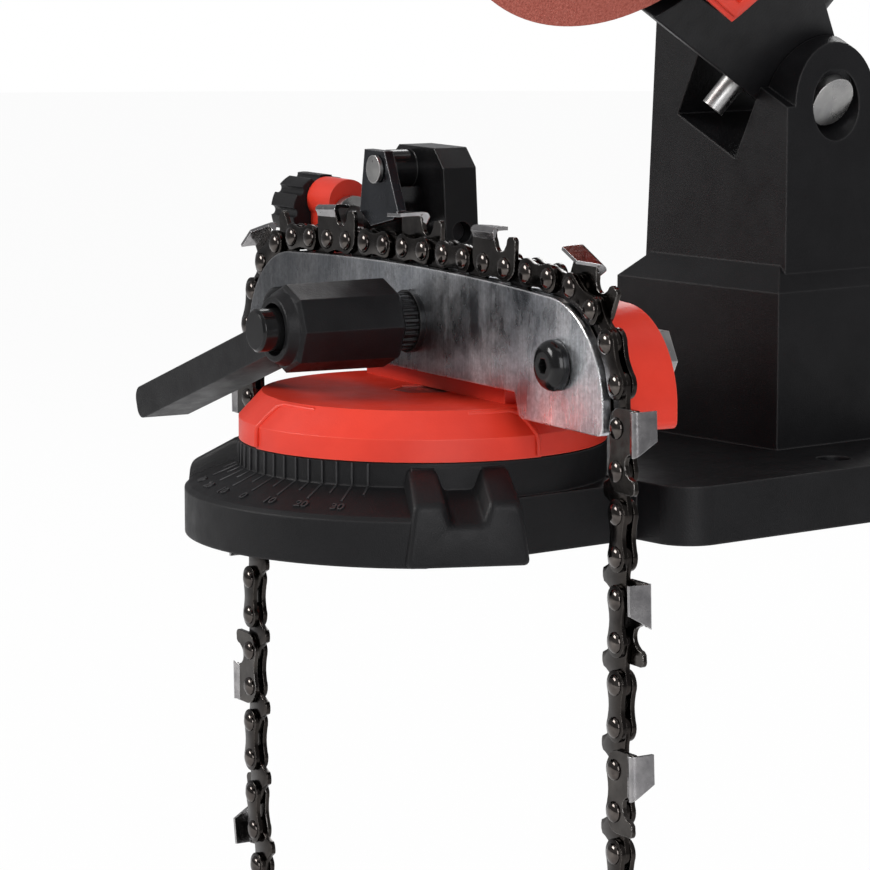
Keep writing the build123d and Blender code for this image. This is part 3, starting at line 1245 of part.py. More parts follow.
# ---------------------------------------------------------------- handle
handle_base = handle_plane(HANDLE_PAD_REACH)
with BuildPart() as handle_core:
    add(turned(handle_base, (0, 0), HANDLE_STUD_R, -HANDLE_STUD_L + SEAT_GAP))
    add(turned(handle_base, (0, 0), HANDLE_NECK_R, HANDLE_NECK_L + HANDLE_GRIP_L - GRIP_END_R))
finish(handle_core.part, "handle_core")

with BuildPart() as handle_grip:
    with BuildSketch(handle_base.offset(HANDLE_NECK_L)):
        Circle(HANDLE_GRIP_R)
    extrude(amount=HANDLE_GRIP_L)
    fillet(handle_grip.faces().sort_by(Axis(HINGE, handle_base.z_dir))[-1].edges(), GRIP_END_R)
    with BuildSketch(handle_base.offset(HANDLE_NECK_L)):
        Circle(HANDLE_NECK_R)
    extrude(amount=HANDLE_GRIP_L - GRIP_END_R, mode=Mode.SUBTRACT)
finish(handle_grip.part, "handle_grip")

# ---------------------------------------------------------------- depth stop and return spring
stop_tip = -FORK_FLOOR + SEAT_GAP
with BuildPart() as depth_stop_bolt:
    with BuildSketch(stop_plane(stop_tip)):
        Circle(STOP_BOLT_R)
    extrude(amount=STOP_BOLT_TOP - stop_tip)
    with BuildSketch(stop_plane(STOP_BOLT_TOP)):
        RegularPolygon(STOP_BOLT_KNOB_R, 10)
    extrude(amount=STOP_BOLT_KNOB_H)
finish(depth_stop_bolt.part, "depth_stop_bolt")

with BuildPart() as depth_stop_nut:
    with BuildSketch(stop_plane(STOP_BOLT_TOP - SEAT_GAP)):
        RegularPolygon(LOCK_NUT_R, 6)
        Circle(STOP_BOLT_R + RUN_FIT, mode=Mode.SUBTRACT)
    extrude(amount=-LOCK_NUT_H)
finish(depth_stop_nut.part, "depth_stop_nut")

spring_start = arm_end + SEAT_GAP + SPRING_WIRE / 2
spring_pitch = SPRING_WIRE + SPRING_COIL_GAP
with BuildPart() as return_spring:
    with BuildLine():
        Helix(pitch=spring_pitch, height=spring_pitch * SPRING_TURNS, radius=SPRING_R,
              center=(0, 0, 0), direction=(0, 0, 1))
    with BuildSketch(Plane(origin=(SPRING_R, 0, 0), x_dir=(1, 0, 0), z_dir=(0, 1, 0))):
        Rectangle(SPRING_WIRE, SPRING_WIRE)
    sweep(is_frenet=True)
    spring_end = (SPRING_R, 0, spring_pitch * SPRING_TURNS)
    with BuildSketch(Plane(origin=spring_end, x_dir=(1, 0, 0), z_dir=(0, 1, 0))):
        Rectangle(SPRING_WIRE, SPRING_WIRE)
    extrude(amount=SPRING_LEG)
finish(tower_cut(spring_start) * return_spring.part, "return_spring")
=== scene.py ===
import bisect
import bmesh
import bpy
import json
import math
import random
from mathutils import Matrix, Vector


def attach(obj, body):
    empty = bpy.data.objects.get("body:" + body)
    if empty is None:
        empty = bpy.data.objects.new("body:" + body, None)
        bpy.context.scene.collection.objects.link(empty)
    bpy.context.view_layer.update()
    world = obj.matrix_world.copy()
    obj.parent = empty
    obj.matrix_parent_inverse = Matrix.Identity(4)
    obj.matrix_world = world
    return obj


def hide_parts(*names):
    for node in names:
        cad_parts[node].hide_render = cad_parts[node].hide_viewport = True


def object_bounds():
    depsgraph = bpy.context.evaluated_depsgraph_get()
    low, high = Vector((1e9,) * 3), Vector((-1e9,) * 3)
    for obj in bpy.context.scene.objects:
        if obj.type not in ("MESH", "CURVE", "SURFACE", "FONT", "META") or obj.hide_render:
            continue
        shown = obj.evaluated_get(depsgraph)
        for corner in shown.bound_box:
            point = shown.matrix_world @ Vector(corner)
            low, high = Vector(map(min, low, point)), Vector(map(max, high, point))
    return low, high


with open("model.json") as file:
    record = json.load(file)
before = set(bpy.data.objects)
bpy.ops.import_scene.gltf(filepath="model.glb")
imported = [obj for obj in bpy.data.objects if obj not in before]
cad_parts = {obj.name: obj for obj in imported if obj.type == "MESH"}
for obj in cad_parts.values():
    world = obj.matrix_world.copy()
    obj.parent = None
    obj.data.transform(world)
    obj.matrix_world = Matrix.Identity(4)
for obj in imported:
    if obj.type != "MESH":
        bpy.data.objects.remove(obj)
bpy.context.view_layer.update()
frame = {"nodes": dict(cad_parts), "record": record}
NODES = frame["nodes"]
MM = 0.001
random.seed(7)

# ---------------------------------------------------------------- stations of the machine, mm
TABLE = Vector((0.0, -90.0, 0.0))           # foot of the turntable's axis
SWIVEL = math.radians(-9.0)                 # the vise's turn at rest
RAIL_DIR = Vector((math.cos(SWIVEL), math.sin(SWIVEL), 0.0))
REAR_DIR = Vector((-math.sin(SWIVEL), math.cos(SWIVEL), 0.0))
UP = Vector((0.0, 0.0, 1.0))
TILT = math.radians(25.0)                   # the wheel's lean from upright
RAISE = math.radians(30.0)                  # the head's raised angle at rest
AXIS_DIR = Vector((-math.cos(TILT), 0.0, math.sin(TILT)))
LEAN_DIR = Vector((math.sin(TILT), 0.0, math.cos(TILT)))
FRONT = Vector((0.0, -1.0, 0.0))
FORE_DIR = FRONT * math.cos(RAISE) + LEAN_DIR * math.sin(RAISE)
RISE_DIR = LEAN_DIR * math.cos(RAISE) - FRONT * math.sin(RAISE)
GRIND_SIDE = 0.8
GRIND_HEIGHT = 72.0
HINGE_RISE = 34.0
WHEEL_FORE = 112.0
WHEEL_RISE = 20.0
GRIND = TABLE + Vector((GRIND_SIDE, 0.0, GRIND_HEIGHT))
HINGE = GRIND + LEAN_DIR * HINGE_RISE - FRONT * WHEEL_FORE
HUB = HINGE + FORE_DIR * WHEEL_FORE + RISE_DIR * WHEEL_RISE

RIVET_RISE = 3.6                            # the rivets' line over the rails
RAIL_HALF = 61.5
RAIL_TOP = 61.5
RAIL_CROWN = 1.7
RAIL_END_R = 24.0
LOOP_DROP = 125.0                           # depth of the hanging half ellipse
HALF_PITCH = 9.525                          # from one rivet to the next
DRIVE_LINKS = 40
STOPPED_RIVET_X = 2.7                       # from the vise's middle to the stopped cutter's rivet
GAUGE = 1.3                                 # drive links' thickness
SIDE_T = 1.2                                # straps' and cutters' thickness
SIDE_PLAY = 0.1
RIVET_TURN = 6.0                            # rivet heads are turned at random by up to this, radians
STRAP_R = 3.4
DRIVE_R = 3.1
WAIST = 2.5                                 # half height of a strap's middle
WAIST_SHOULDER = (1.4, 2.62)
CUTTER_END = 9.46
CUTTER_EVERY = 4
NEAR_CUTTERS, FAR_CUTTERS = 2, 0            # which of every four links has the cutter
STRAP_EDGE = 0.16
DRIVE_EDGE = 0.14
CUTTER_EDGE = 0.12
CROWN_STEPS = 240
END_STEPS = 120
LOOP_STEPS = 1200


def axes(origin, x_dir, y_dir, z_dir):
    """Matrix whose columns are a frame's directions; lengths stay in mm."""
    m = Matrix((x_dir, y_dir, z_dir)).transposed().to_4x4()
    m.translation = origin
    return m


VISE = axes(TABLE, RAIL_DIR, UP, -REAR_DIR)
WHEEL = axes(HUB, FORE_DIR, RISE_DIR, AXIS_DIR)
TO_METRES = Matrix.Scale(MM, 4)
TURN_OVER = Matrix.Rotation(math.pi, 4, "X")


# ---------------------------------------------------------------- materials
MIX_A, MIX_B, MIX_RESULT = 6, 7, 2          # a mix node's colour sockets
BEVEL_SAMPLES = 4
WORN_COSINE, PLAIN_COSINE = 0.72, 0.985     # of the angle between the bent and the true normal
GLOSS_SCALE = 3.1                           # gloss varies this much finer than colour
RAIL_SHADE_FADE = 0.055                           # half the length, in metres, over which the rails' painted shade turns to painted light


def value_noise(nt, coords, scale, detail=4.0, rough=0.55, stretch=None):
    """Noise on object coordinates, which stay with a piece in every pose. A stretch, along the
    vise's own directions, also turns the pattern with the vise."""
    noise = nt.nodes.new("ShaderNodeTexNoise")
    noise.inputs["Scale"].default_value = scale
    noise.inputs["Detail"].default_value = detail
    noise.inputs["Roughness"].default_value = rough
    if stretch is None:
        nt.links.new(coords, noise.inputs["Vector"])
    else:
        mapping = nt.nodes.new("ShaderNodeMapping")
        mapping.inputs["Scale"].default_value = stretch
        mapping.inputs["Rotation"].default_value = (0.0, 0.0, -SWIVEL)
        nt.links.new(coords, mapping.inputs["Vector"])
        nt.links.new(mapping.outputs["Vector"], noise.inputs["Vector"])
    return noise.outputs["Fac"]


def spread(nt, fac, low, high, start=0.3, end=0.7):
    """Maps a value between start and end to one between low and high."""
    node = nt.nodes.new("ShaderNodeMapRange")
    node.inputs["From Min"].default_value = start
    node.inputs["From Max"].default_value = end
    node.inputs["To Min"].default_value = low
    node.inputs["To Max"].default_value = high
    nt.links.new(fac, node.inputs["Value"])
    return node.outputs["Result"]


def mix(nt, fac, a, b):
    """Blends two colours, each a tuple or a socket."""
    node = nt.nodes.new("ShaderNodeMix")
    node.data_type = "RGBA"
    nt.links.new(fac, node.inputs["Factor"])
    for socket, colour in ((MIX_A, a), (MIX_B, b)):
        if isinstance(colour, tuple):
            node.inputs[socket].default_value = (*colour, 1.0)
        else:
            nt.links.new(colour, node.inputs[socket])
    return node.outputs[MIX_RESULT]


def multiply(nt, a, b):
    """Product of two values, each a number or a socket."""
    node = nt.nodes.new("ShaderNodeMath")
    node.operation = "MULTIPLY"
    for socket, value in zip(node.inputs, (a, b)):
        if isinstance(value, float):
            socket.default_value = value
        else:
            nt.links.new(value, socket)
    return node.outputs[0]


def bevelled_normal(nt, radius):
    """Normal of the surface as if its edges were rounded, radius in metres."""
    node = nt.nodes.new("ShaderNodeBevel")
    node.samples = BEVEL_SAMPLES
    node.inputs["Radius"].default_value = radius
    return node.outputs["Normal"]


def edge_mask(nt, radius):
    """One where the surface turns over an edge, from the bent normal."""
    geometry = nt.nodes.new("ShaderNodeNewGeometry")
    dot = nt.nodes.new("ShaderNodeVectorMath")
    dot.operation = "DOT_PRODUCT"
    nt.links.new(bevelled_normal(nt, radius), dot.inputs[0])
    nt.links.new(geometry.outputs["True Normal"], dot.inputs[1])
    return spread(nt, dot.outputs["Value"], 1.0, 0.0, WORN_COSINE, PLAIN_COSINE)


def surface(name, low, high, rough=(0.35, 0.5), metal=0.0, mottle=60.0, stretch=None, grain=0.0,
            grain_scale=3000.0, edge=None, edge_r=0.0006, rounding=0.0, specular=0.5, stain=None,
            stain_scale=25.0, stain_at=(0.62, 0.72), sheen=0.0):
    """Material whose colour, gloss and relief vary by noise; edge is the colour of worn edges."""
    material = bpy.data.materials.new(name)
    material.use_nodes = True
    nt = material.node_tree
    shader = nt.nodes["Principled BSDF"]
    coords = nt.nodes.new("ShaderNodeTexCoord").outputs["Object"]
    blotch = value_noise(nt, coords, mottle, stretch=stretch)
    colour = mix(nt, spread(nt, blotch, 0.0, 1.0), low, high)
    if stain:
        spots = value_noise(nt, coords, stain_scale, detail=6.0, rough=0.65)
        marks = spread(nt, spots, 0.0, 1.0, *stain_at)
        colour = mix(nt, marks, colour, stain)
    if edge:
        colour = mix(nt, edge_mask(nt, edge_r), colour, edge)
    nt.links.new(colour, shader.inputs["Base Color"])
    fine = value_noise(nt, coords, grain_scale, detail=2.0, stretch=stretch)
    gloss = value_noise(nt, coords, mottle * GLOSS_SCALE, detail=3.0, stretch=stretch)
    nt.links.new(spread(nt, gloss, *rough), shader.inputs["Roughness"])
    shader.inputs["Metallic"].default_value = metal
    shader.inputs["Specular IOR Level"].default_value = specular
    shader.inputs["Sheen Weight"].default_value = sheen
    if grain or rounding:
        bump = nt.nodes.new("ShaderNodeBump")
        bump.inputs["Strength"].default_value = 1.0
        bump.inputs["Distance"].default_value = grain
        nt.links.new(fine, bump.inputs["Height"])
        if rounding:
            nt.links.new(bevelled_normal(nt, rounding), bump.inputs["Normal"])
        nt.links.new(bump.outputs["Normal"], shader.inputs["Normal"])
    return material


def weather_rail(material):
    """Fine upright scratches and zinc speckle over the rails' colour, with painted shade on the left end
    that turns to painted light towards the right.
    """
    nt = material.node_tree
    shader = nt.nodes["Principled BSDF"]
    colour = shader.inputs["Base Color"].links[0].from_socket
    coords = nt.nodes.new("ShaderNodeTexCoord").outputs["Object"]
    streaks = value_noise(nt, coords, 1500.0, detail=3.0, rough=0.7, stretch=(1.0, 0.1, 0.035))
    speckle = value_noise(nt, coords, 900.0, detail=5.0, rough=0.75)
    split = nt.nodes.new("ShaderNodeSeparateXYZ")
    nt.links.new(coords, split.inputs[0])
    # painted shade and light: the rails' colour is scaled from 0.62 on the left end to 2.6 on the right
    along = spread(nt, split.outputs["X"], low=0.62, high=2.6, start=-RAIL_SHADE_FADE, end=RAIL_SHADE_FADE)
    marks = spread(nt, streaks, low=0.80, high=1.16)
    grains = spread(nt, speckle, low=0.72, high=1.24, start=0.32, end=0.68)
    tone = multiply(nt, marks, grains)
    scaled = nt.nodes.new("ShaderNodeVectorMath")
    scaled.operation = "SCALE"
    nt.links.new(colour, scaled.inputs[0])
    nt.links.new(multiply(nt, tone, along), scaled.inputs["Scale"])
    nt.links.new(scaled.outputs[0], shader.inputs["Base Color"])


def make_materials():
    """Every finish by name, the CAD nodes' slots among them."""
    m = {}
    m["black_casting"] = surface(
        "black_casting", (0.003, 0.003, 0.0036), (0.007, 0.007, 0.0078), (0.40, 0.54), grain=0.00006,
        edge=(0.045, 0.044, 0.044), edge_r=0.0008, rounding=0.0006, specular=0.24)
    m["black_plastic"] = surface(
        "black_plastic", (0.003, 0.003, 0.0036), (0.007, 0.007, 0.0076), (0.38, 0.52), grain=0.00007,
        grain_scale=2200.0, edge=(0.030, 0.030, 0.032), rounding=0.0005, specular=0.22)
    m["gloss_black"] = surface(
        "gloss_black", (0.003, 0.003, 0.0035), (0.007, 0.007, 0.007), (0.10, 0.20), grain=0.00001,
        edge=(0.03, 0.03, 0.03), rounding=0.0004, specular=0.32)
    m["red_plastic"] = surface(
        "red_plastic", (0.66, 0.033, 0.015), (0.76, 0.046, 0.022), (0.34, 0.46), grain=0.00003,
        grain_scale=2200.0, edge=(0.90, 0.13, 0.08), edge_r=0.0004, rounding=0.0003, specular=0.4)
    m["rail_zinc"] = surface(
        "rail_zinc", (0.13, 0.14, 0.155), (0.33, 0.335, 0.345), (0.20, 0.40), metal=1.0, mottle=55.0,
        stretch=(1.0, 1.0, 0.55), grain=0.00002, grain_scale=1100.0, edge=(0.92, 0.92, 0.92),
        edge_r=0.0008, rounding=0.0005, stain=(0.085, 0.09, 0.10), stain_scale=75.0,
        stain_at=(0.58, 0.74))
    # scratches and speckle, and a painted shade-to-light ramp along the rails
    weather_rail(m["rail_zinc"])
    m["zinc_steel"] = surface(
        "zinc_steel", (0.30, 0.30, 0.30), (0.48, 0.475, 0.46), (0.24, 0.40), metal=1.0, mottle=120.0,
        grain=0.000008, edge=(0.70, 0.70, 0.68), rounding=0.0003)
    m["dark_steel"] = surface(
        "dark_steel", (0.020, 0.019, 0.018), (0.045, 0.042, 0.038), (0.30, 0.46), metal=0.6,
        grain=0.00001, edge=(0.12, 0.11, 0.10), rounding=0.0003)
    m["polished_steel"] = surface(
        "polished_steel", (0.42, 0.42, 0.42), (0.60, 0.59, 0.58), (0.08, 0.18), metal=1.0, mottle=90.0,
        grain=0.000004, rounding=0.0003)
    m["dark_blade"] = surface(
        "dark_blade", (0.020, 0.022, 0.026), (0.040, 0.043, 0.050), (0.16, 0.30), metal=0.8, mottle=90.0,
        grain=0.000006, edge=(0.75, 0.75, 0.76), edge_r=0.0004, rounding=0.0003)
    m["chain_steel"] = surface(
        "chain_steel", (0.018, 0.016, 0.015), (0.048, 0.042, 0.038), (0.12, 0.26), metal=1.0,
        mottle=180.0, grain=0.000015, grain_scale=700.0, edge=(0.26, 0.24, 0.22), edge_r=0.0002,
        rounding=0.0002, specular=0.6)
    m["rivet_steel"] = surface(
        "rivet_steel", (0.055, 0.048, 0.045), (0.13, 0.115, 0.105), (0.05, 0.13), metal=1.0,
        mottle=300.0, grain=0.000006)
    m["cutter_chrome"] = surface(
        "cutter_chrome", (0.24, 0.235, 0.24), (0.40, 0.39, 0.39), (0.14, 0.28), metal=1.0, mottle=260.0,
        stretch=(1.0, 1.0, 1.0), grain=0.000010, grain_scale=1500.0, edge=(0.85, 0.85, 0.84),
        edge_r=0.0002, rounding=0.0002)
    m["cutter_side"] = surface(
        "cutter_side", (0.028, 0.025, 0.023), (0.075, 0.068, 0.062), (0.12, 0.26), metal=1.0,
        mottle=150.0, grain=0.000015, grain_scale=800.0, edge=(0.50, 0.48, 0.46), edge_r=0.0002,
        rounding=0.0002)
    m["head_paint"] = surface(
        "head_paint", (0.004, 0.004, 0.0046), (0.008, 0.008, 0.0088), (0.36, 0.50), grain=0.00005,
        grain_scale=1400.0, edge=(0.042, 0.042, 0.044), rounding=0.0008, specular=0.28)
    m["abrasive"] = surface(
        "abrasive", (0.30, 0.060, 0.040), (0.52, 0.15, 0.11), (0.80, 0.95), mottle=1800.0,
        grain=0.00016, grain_scale=2600.0, edge=(0.40, 0.12, 0.09), stain=(0.75, 0.42, 0.36),
        stain_scale=2200.0, stain_at=(0.64, 0.72))
    m["grip_rubber"] = surface(
        "grip_rubber", (0.010, 0.010, 0.010), (0.018, 0.018, 0.018), (0.62, 0.78), grain=0.00008,
        grain_scale=1600.0, edge=(0.03, 0.03, 0.03), sheen=0.1)
    m["winding_copper"] = surface(
        "winding_copper", (0.36, 0.13, 0.05), (0.55, 0.23, 0.09), (0.25, 0.40), metal=1.0,
        mottle=300.0, grain=0.00002)
    m["brush_carbon"] = surface(
        "brush_carbon", (0.020, 0.020, 0.021), (0.035, 0.035, 0.036), (0.50, 0.65), grain=0.00002)
    m["scale_mark"] = surface(
        "scale_mark", (0.010, 0.010, 0.011), (0.016, 0.016, 0.017), (0.36, 0.46), grain=0.00002,
        edge=(0.06, 0.06, 0.062), edge_r=0.0003)
    clear = surface("clear_shield", (0.80, 0.86, 0.88), (0.84, 0.89, 0.91), (0.04, 0.09), mottle=40.0,
                    grain=0.000002)
    clear.node_tree.nodes["Principled BSDF"].inputs["Transmission Weight"].default_value = 0.92
    m["clear_shield"] = clear
    return m


MATERIALS = make_materials()
SLOT_OF = {part["node"]: part["material_slot"] for part in frame["record"]["subparts"]}
OTHER_LOOK = {"pawl": "dark_blade", "lever_washer": "gloss_black", "lever_sleeve": "gloss_black"}
CAD_SHARP = math.radians(28.0)
LOOK_SHARP = math.radians(32.0)


def dress_cad_nodes():
    """Gives every CAD node the material of its slot, or its own finish, and smooth curved faces."""
    for name, node in NODES.items():
        node.data.materials.clear()
        node.data.materials.append(MATERIALS[OTHER_LOOK.get(name, SLOT_OF[name])])
        node.data.shade_smooth()
        node.data.set_sharp_from_angle(angle=CAD_SHARP)


# ---------------------------------------------------------------- mesh helpers
TINY = 1e-6                     # mm: heights this close are one level
WELD = 1e-5                     # mm: points this close are one point


def to_object(name, bm, material, body, matrix=None):
    """Turns a bmesh in mm into an object in metres that rides on a body."""
    if matrix is not None:
        bm.transform(matrix)
    bm.transform(TO_METRES)
    bmesh.ops.recalc_face_normals(bm, faces=bm.faces)
    mesh = bpy.data.meshes.new(name)
    bm.to_mesh(mesh)
    bm.free()
    mesh.materials.append(MATERIALS[material])
    mesh.shade_smooth()
    mesh.set_sharp_from_angle(angle=LOOK_SHARP)
    obj = bpy.data.objects.new(name, mesh)
    bpy.context.scene.collection.objects.link(obj)
    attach(obj, body)
    return obj


def arc_points(centre, r, start, end, count):
    """Points on an arc, angles in degrees."""
    step = (end - start) / (count - 1)
    return [(centre[0] + r * math.cos(math.radians(start + i * step)),
             centre[1] + r * math.sin(math.radians(start + i * step))) for i in range(count)]


def skin(bm, rings, closed=True):
    """Faces from each ring of vertices to the next, and over both ends of a closed body."""
    for low, high in zip(rings, rings[1:]):
        for i in range(len(low)):
            j = (i + 1) % len(low)
            bm.faces.new((low[i], low[j], high[j], high[i]))
    if closed:
        bm.faces.new(list(reversed(rings[0])))
        bm.faces.new(rings[-1])


def around(r, z, count):
    """Points of a level circle about Z."""
    return [(r * math.cos(a), r * math.sin(a), z) for a in (2 * math.pi * i / count for i in range(count))]


def prism(outline, z0, z1, edge, segments=2):
    """Closed prism over an outline, with its rims rounded by edge."""
    bm = bmesh.new()
    ring = [bm.verts.new((x, y, z0)) for x, y in outline]
    face = bm.faces.new(ring)
    top = bmesh.ops.extrude_face_region(bm, geom=[face])
    moved = [v for v in top["geom"] if isinstance(v, bmesh.types.BMVert)]
    bmesh.ops.translate(bm, verts=moved, vec=(0.0, 0.0, z1 - z0))
    bmesh.ops.recalc_face_normals(bm, faces=bm.faces)
    rims = [e for e in bm.edges if abs(e.verts[0].co.z - e.verts[1].co.z) < TINY]
    bmesh.ops.bevel(bm, geom=rims, offset=edge, segments=segments, affect="EDGES", profile=0.5,
                    clamp_overlap=True)
    return bm


def lathe(profile, count):
    """Solid of revolution about Z from (radius, height) points."""
    bm = bmesh.new()
    rings = []
    for r, z in profile:
        spots = [(0.0, 0.0, z)] if r < TINY else around(r, z, count)
        rings.append([bm.verts.new(spot) for spot in spots])
    for low, high in zip(rings, rings[1:]):
        for i in range(count):
            j = (i + 1) % count
            if len(low) == 1:
                bm.faces.new((low[0], high[i], high[j]))
            elif len(high) == 1:
                bm.faces.new((low[i], low[j], high[0]))
            else:
                bm.faces.new((low[i], low[j], high[j], high[i]))
    return bm


def merge(target, source, matrix=None, keep=False):
    """Adds a bmesh to another, placed by matrix, and frees it unless it is kept for more copies."""
    mesh = bpy.data.meshes.new("merge_tmp")
    source.to_mesh(mesh)
    if matrix is not None:
        mesh.transform(matrix)
    target.from_mesh(mesh)
    bpy.data.meshes.remove(mesh)
    if not keep:
        source.free()


# ---------------------------------------------------------------- saw chain
def chain_path():
    """Dense points of the rivet line on the vise's upright plane, with their travelled length."""
    crown_r = (RAIL_HALF ** 2 + RAIL_CROWN ** 2) / (2 * RAIL_CROWN)
    top = RAIL_TOP + RIVET_RISE
    half_angle = math.asin(RAIL_HALF / crown_r)
    end_z = RAIL_TOP - RAIL_END_R
    end_r = RAIL_END_R + RIVET_RISE
    strand_x = RAIL_HALF + end_r
    crown_z = top + RAIL_CROWN - crown_r
    points = []
    for i in range(CROWN_STEPS + 1):
        a = math.pi / 2 + half_angle - 2 * half_angle * i / CROWN_STEPS
        points.append((crown_r * math.cos(a), crown_z + crown_r * math.sin(a)))
    for i in range(1, END_STEPS + 1):
        a = math.pi / 2 * (1 - i / END_STEPS)
        points.append((RAIL_HALF + end_r * math.cos(a), end_z + end_r * math.sin(a)))
    loop = [(strand_x * math.cos(a), -LOOP_DROP * math.sin(a))
            for a in (math.pi * i / LOOP_STEPS for i in range(LOOP_STEPS + 1))]
    loop_length = sum(math.dist(a, b) for a, b in zip(loop, loop[1:]))
    total = 2 * DRIVE_LINKS * HALF_PITCH
    crown_length = 2 * half_angle * crown_r
    strand = (total - crown_length - math.pi * end_r - loop_length) / 2
    loop_z = end_z - strand
    points += [(x, loop_z + y) for x, y in loop]
    points.append((-strand_x, end_z))
    for i in range(1, END_STEPS + 1):
        a = math.pi - math.pi / 2 * i / END_STEPS
        points.append((-RAIL_HALF + end_r * math.cos(a), end_z + end_r * math.sin(a)))
    lengths = [0.0]
    for a, b in zip(points, points[1:]):
        lengths.append(lengths[-1] + math.dist(a, b))
    return points, lengths, total


PATH, LENGTHS, CHAIN_LENGTH = chain_path()


def rivet(index):
    """A rivet's place, counted from the stopped cutter's front rivet."""
    s = (RAIL_HALF + STOPPED_RIVET_X + index * HALF_PITCH) % CHAIN_LENGTH
    i = min(max(bisect.bisect_right(LENGTHS, s) - 1, 0), len(PATH) - 2)
    t = (s - LENGTHS[i]) / (LENGTHS[i + 1] - LENGTHS[i])
    a, b = PATH[i], PATH[i + 1]
    return Vector((a[0] + (b[0] - a[0]) * t, a[1] + (b[1] - a[1]) * t, 0.0))


def link_matrix(index):
    """Frame of the link that runs forward from a rivet: X forward, Y outwards, Z to the operator."""
    here, ahead = rivet(index), rivet(index + 1)
    angle = math.atan2(ahead.y - here.y, ahead.x - here.x)
    place = Matrix.Translation((here + ahead) / 2)
    return VISE @ place @ Matrix.Rotation(angle, 4, "Z")


def waist_below():
    """Underside of a strap between its two rounds."""
    x, y = WAIST_SHOULDER
    return [(-x, -y), (0.0, -WAIST), (x, -y)]


def side_outline():
    """Tie strap: two rounds joined by a waist."""
    lobe = HALF_PITCH / 2
    x, y = WAIST_SHOULDER
    right = arc_points((lobe, 0.0), STRAP_R, -118.0, 118.0, 17)
    left = arc_points((-lobe, 0.0), STRAP_R, 62.0, 298.0, 17)
    return right + [(x, y), (0.0, WAIST), (-x, y)] + left + waist_below()


def drive_outline():
    """Drive link: strap above, hooked tang below."""
    lobe = HALF_PITCH / 2
    right = arc_points((lobe, 0.0), DRIVE_R, -42.0, 112.0, 12)
    left = arc_points((-lobe, 0.0), DRIVE_R, 68.0, 222.0, 12)
    tang = [(-lobe + 0.8, -3.3), (-lobe + 2.4, -5.2), (-1.5, -7.0), (-0.6, -7.25), (0.6, -7.2),
            (1.6, -6.7), (2.0, -5.6), (2.7, -4.4), (lobe - 0.7, -3.2)]
    return right + [(0.9, 2.35), (-0.9, 2.35)] + left + tang


def cutter_outline():
    """Cutter's side: strap, upright with hooked gullet, depth gauge."""
    lobe = HALF_PITCH / 2
    low = arc_points((lobe, 0.0), STRAP_R, -118.0, -52.0, 6)
    right = [(8.1, -1.9), (9.1, -0.7), (CUTTER_END, 0.9), (CUTTER_END, 5.4)]
    gauge = arc_points((8.2, 6.1), 1.3, 0.0, 110.0, 7) + [(6.6, 7.2), (5.95, 6.5), (5.7, 5.4)]
    gullet = arc_points((3.0, 5.9), 2.5, -30.0, -170.0, 10)
    hook = [(-0.15, 6.6), (-0.25, 7.5), (0.15, 8.3)]
    roof = [(0.5 - CUTTER_END, 8.1), (-CUTTER_END, 7.6)]
    back = [(-CUTTER_END, 1.2), (-9.1, -0.6), (-8.1, -1.9)]
    left = arc_points((-lobe, 0.0), STRAP_R, 232.0, 298.0, 6)
    return low + right + gauge + gullet + hook + roof + back + left + waist_below()


def cutter_roof():
    """Curved top of a cutter: rises leaning outwards from the side, rounds over, runs inwards.
    Y is height over the rivets, Z is how far out of the side plate's outer face."""
    lean, shoulder, turn_r = 0.72, 7.5, 1.25
    outer = [(0.02, 5.6), (0.34, 6.6), (lean, shoulder)]
    outer += arc_points((lean - turn_r, shoulder), turn_r, 18.0, 90.0, 5)
    outer += [(-2.0, 8.68), (-3.6, 8.56), (-5.3, 8.40)]
    inner = [(-5.3, 7.55), (-3.6, 7.70), (-1.6, 7.82), (-0.9, 7.55), (-0.55, 6.9), (-0.75, 6.2),
             (-1.0, 5.6)]
    section = outer + inner
    rear, corner, skew = 0.25 - CUTTER_END, 0.95, math.tan(math.radians(30.0))
    top_from, back_drop, undercut = 7.0, 0.35, 0.35
    stations = 9
    bm = bmesh.new()
    rings = []
    for i in range(stations):
        t = i / (stations - 1)
        ring = []
        for z, y in section:
            front = corner - max(0.0, lean - z) * skew + min(0.0, (y - top_from) * undercut)
            drop = back_drop * (1 - t) * (y > top_from)
            ring.append(bm.verts.new((rear + (front - rear) * t, y - drop, z)))
        rings.append(ring)
    skin(bm, rings)
    bmesh.ops.recalc_face_normals(bm, faces=bm.faces)
    return bm


def rivet_head():
    """Spun rivet head: low dome with a soft rim, standing on Z = 0."""
    profile = [(2.42, 0.0), (2.42, 0.18), (2.30, 0.42), (1.98, 0.68), (1.45, 0.92), (0.75, 1.06),
               (0.0, 1.10)]
    return lathe(profile, count=26)


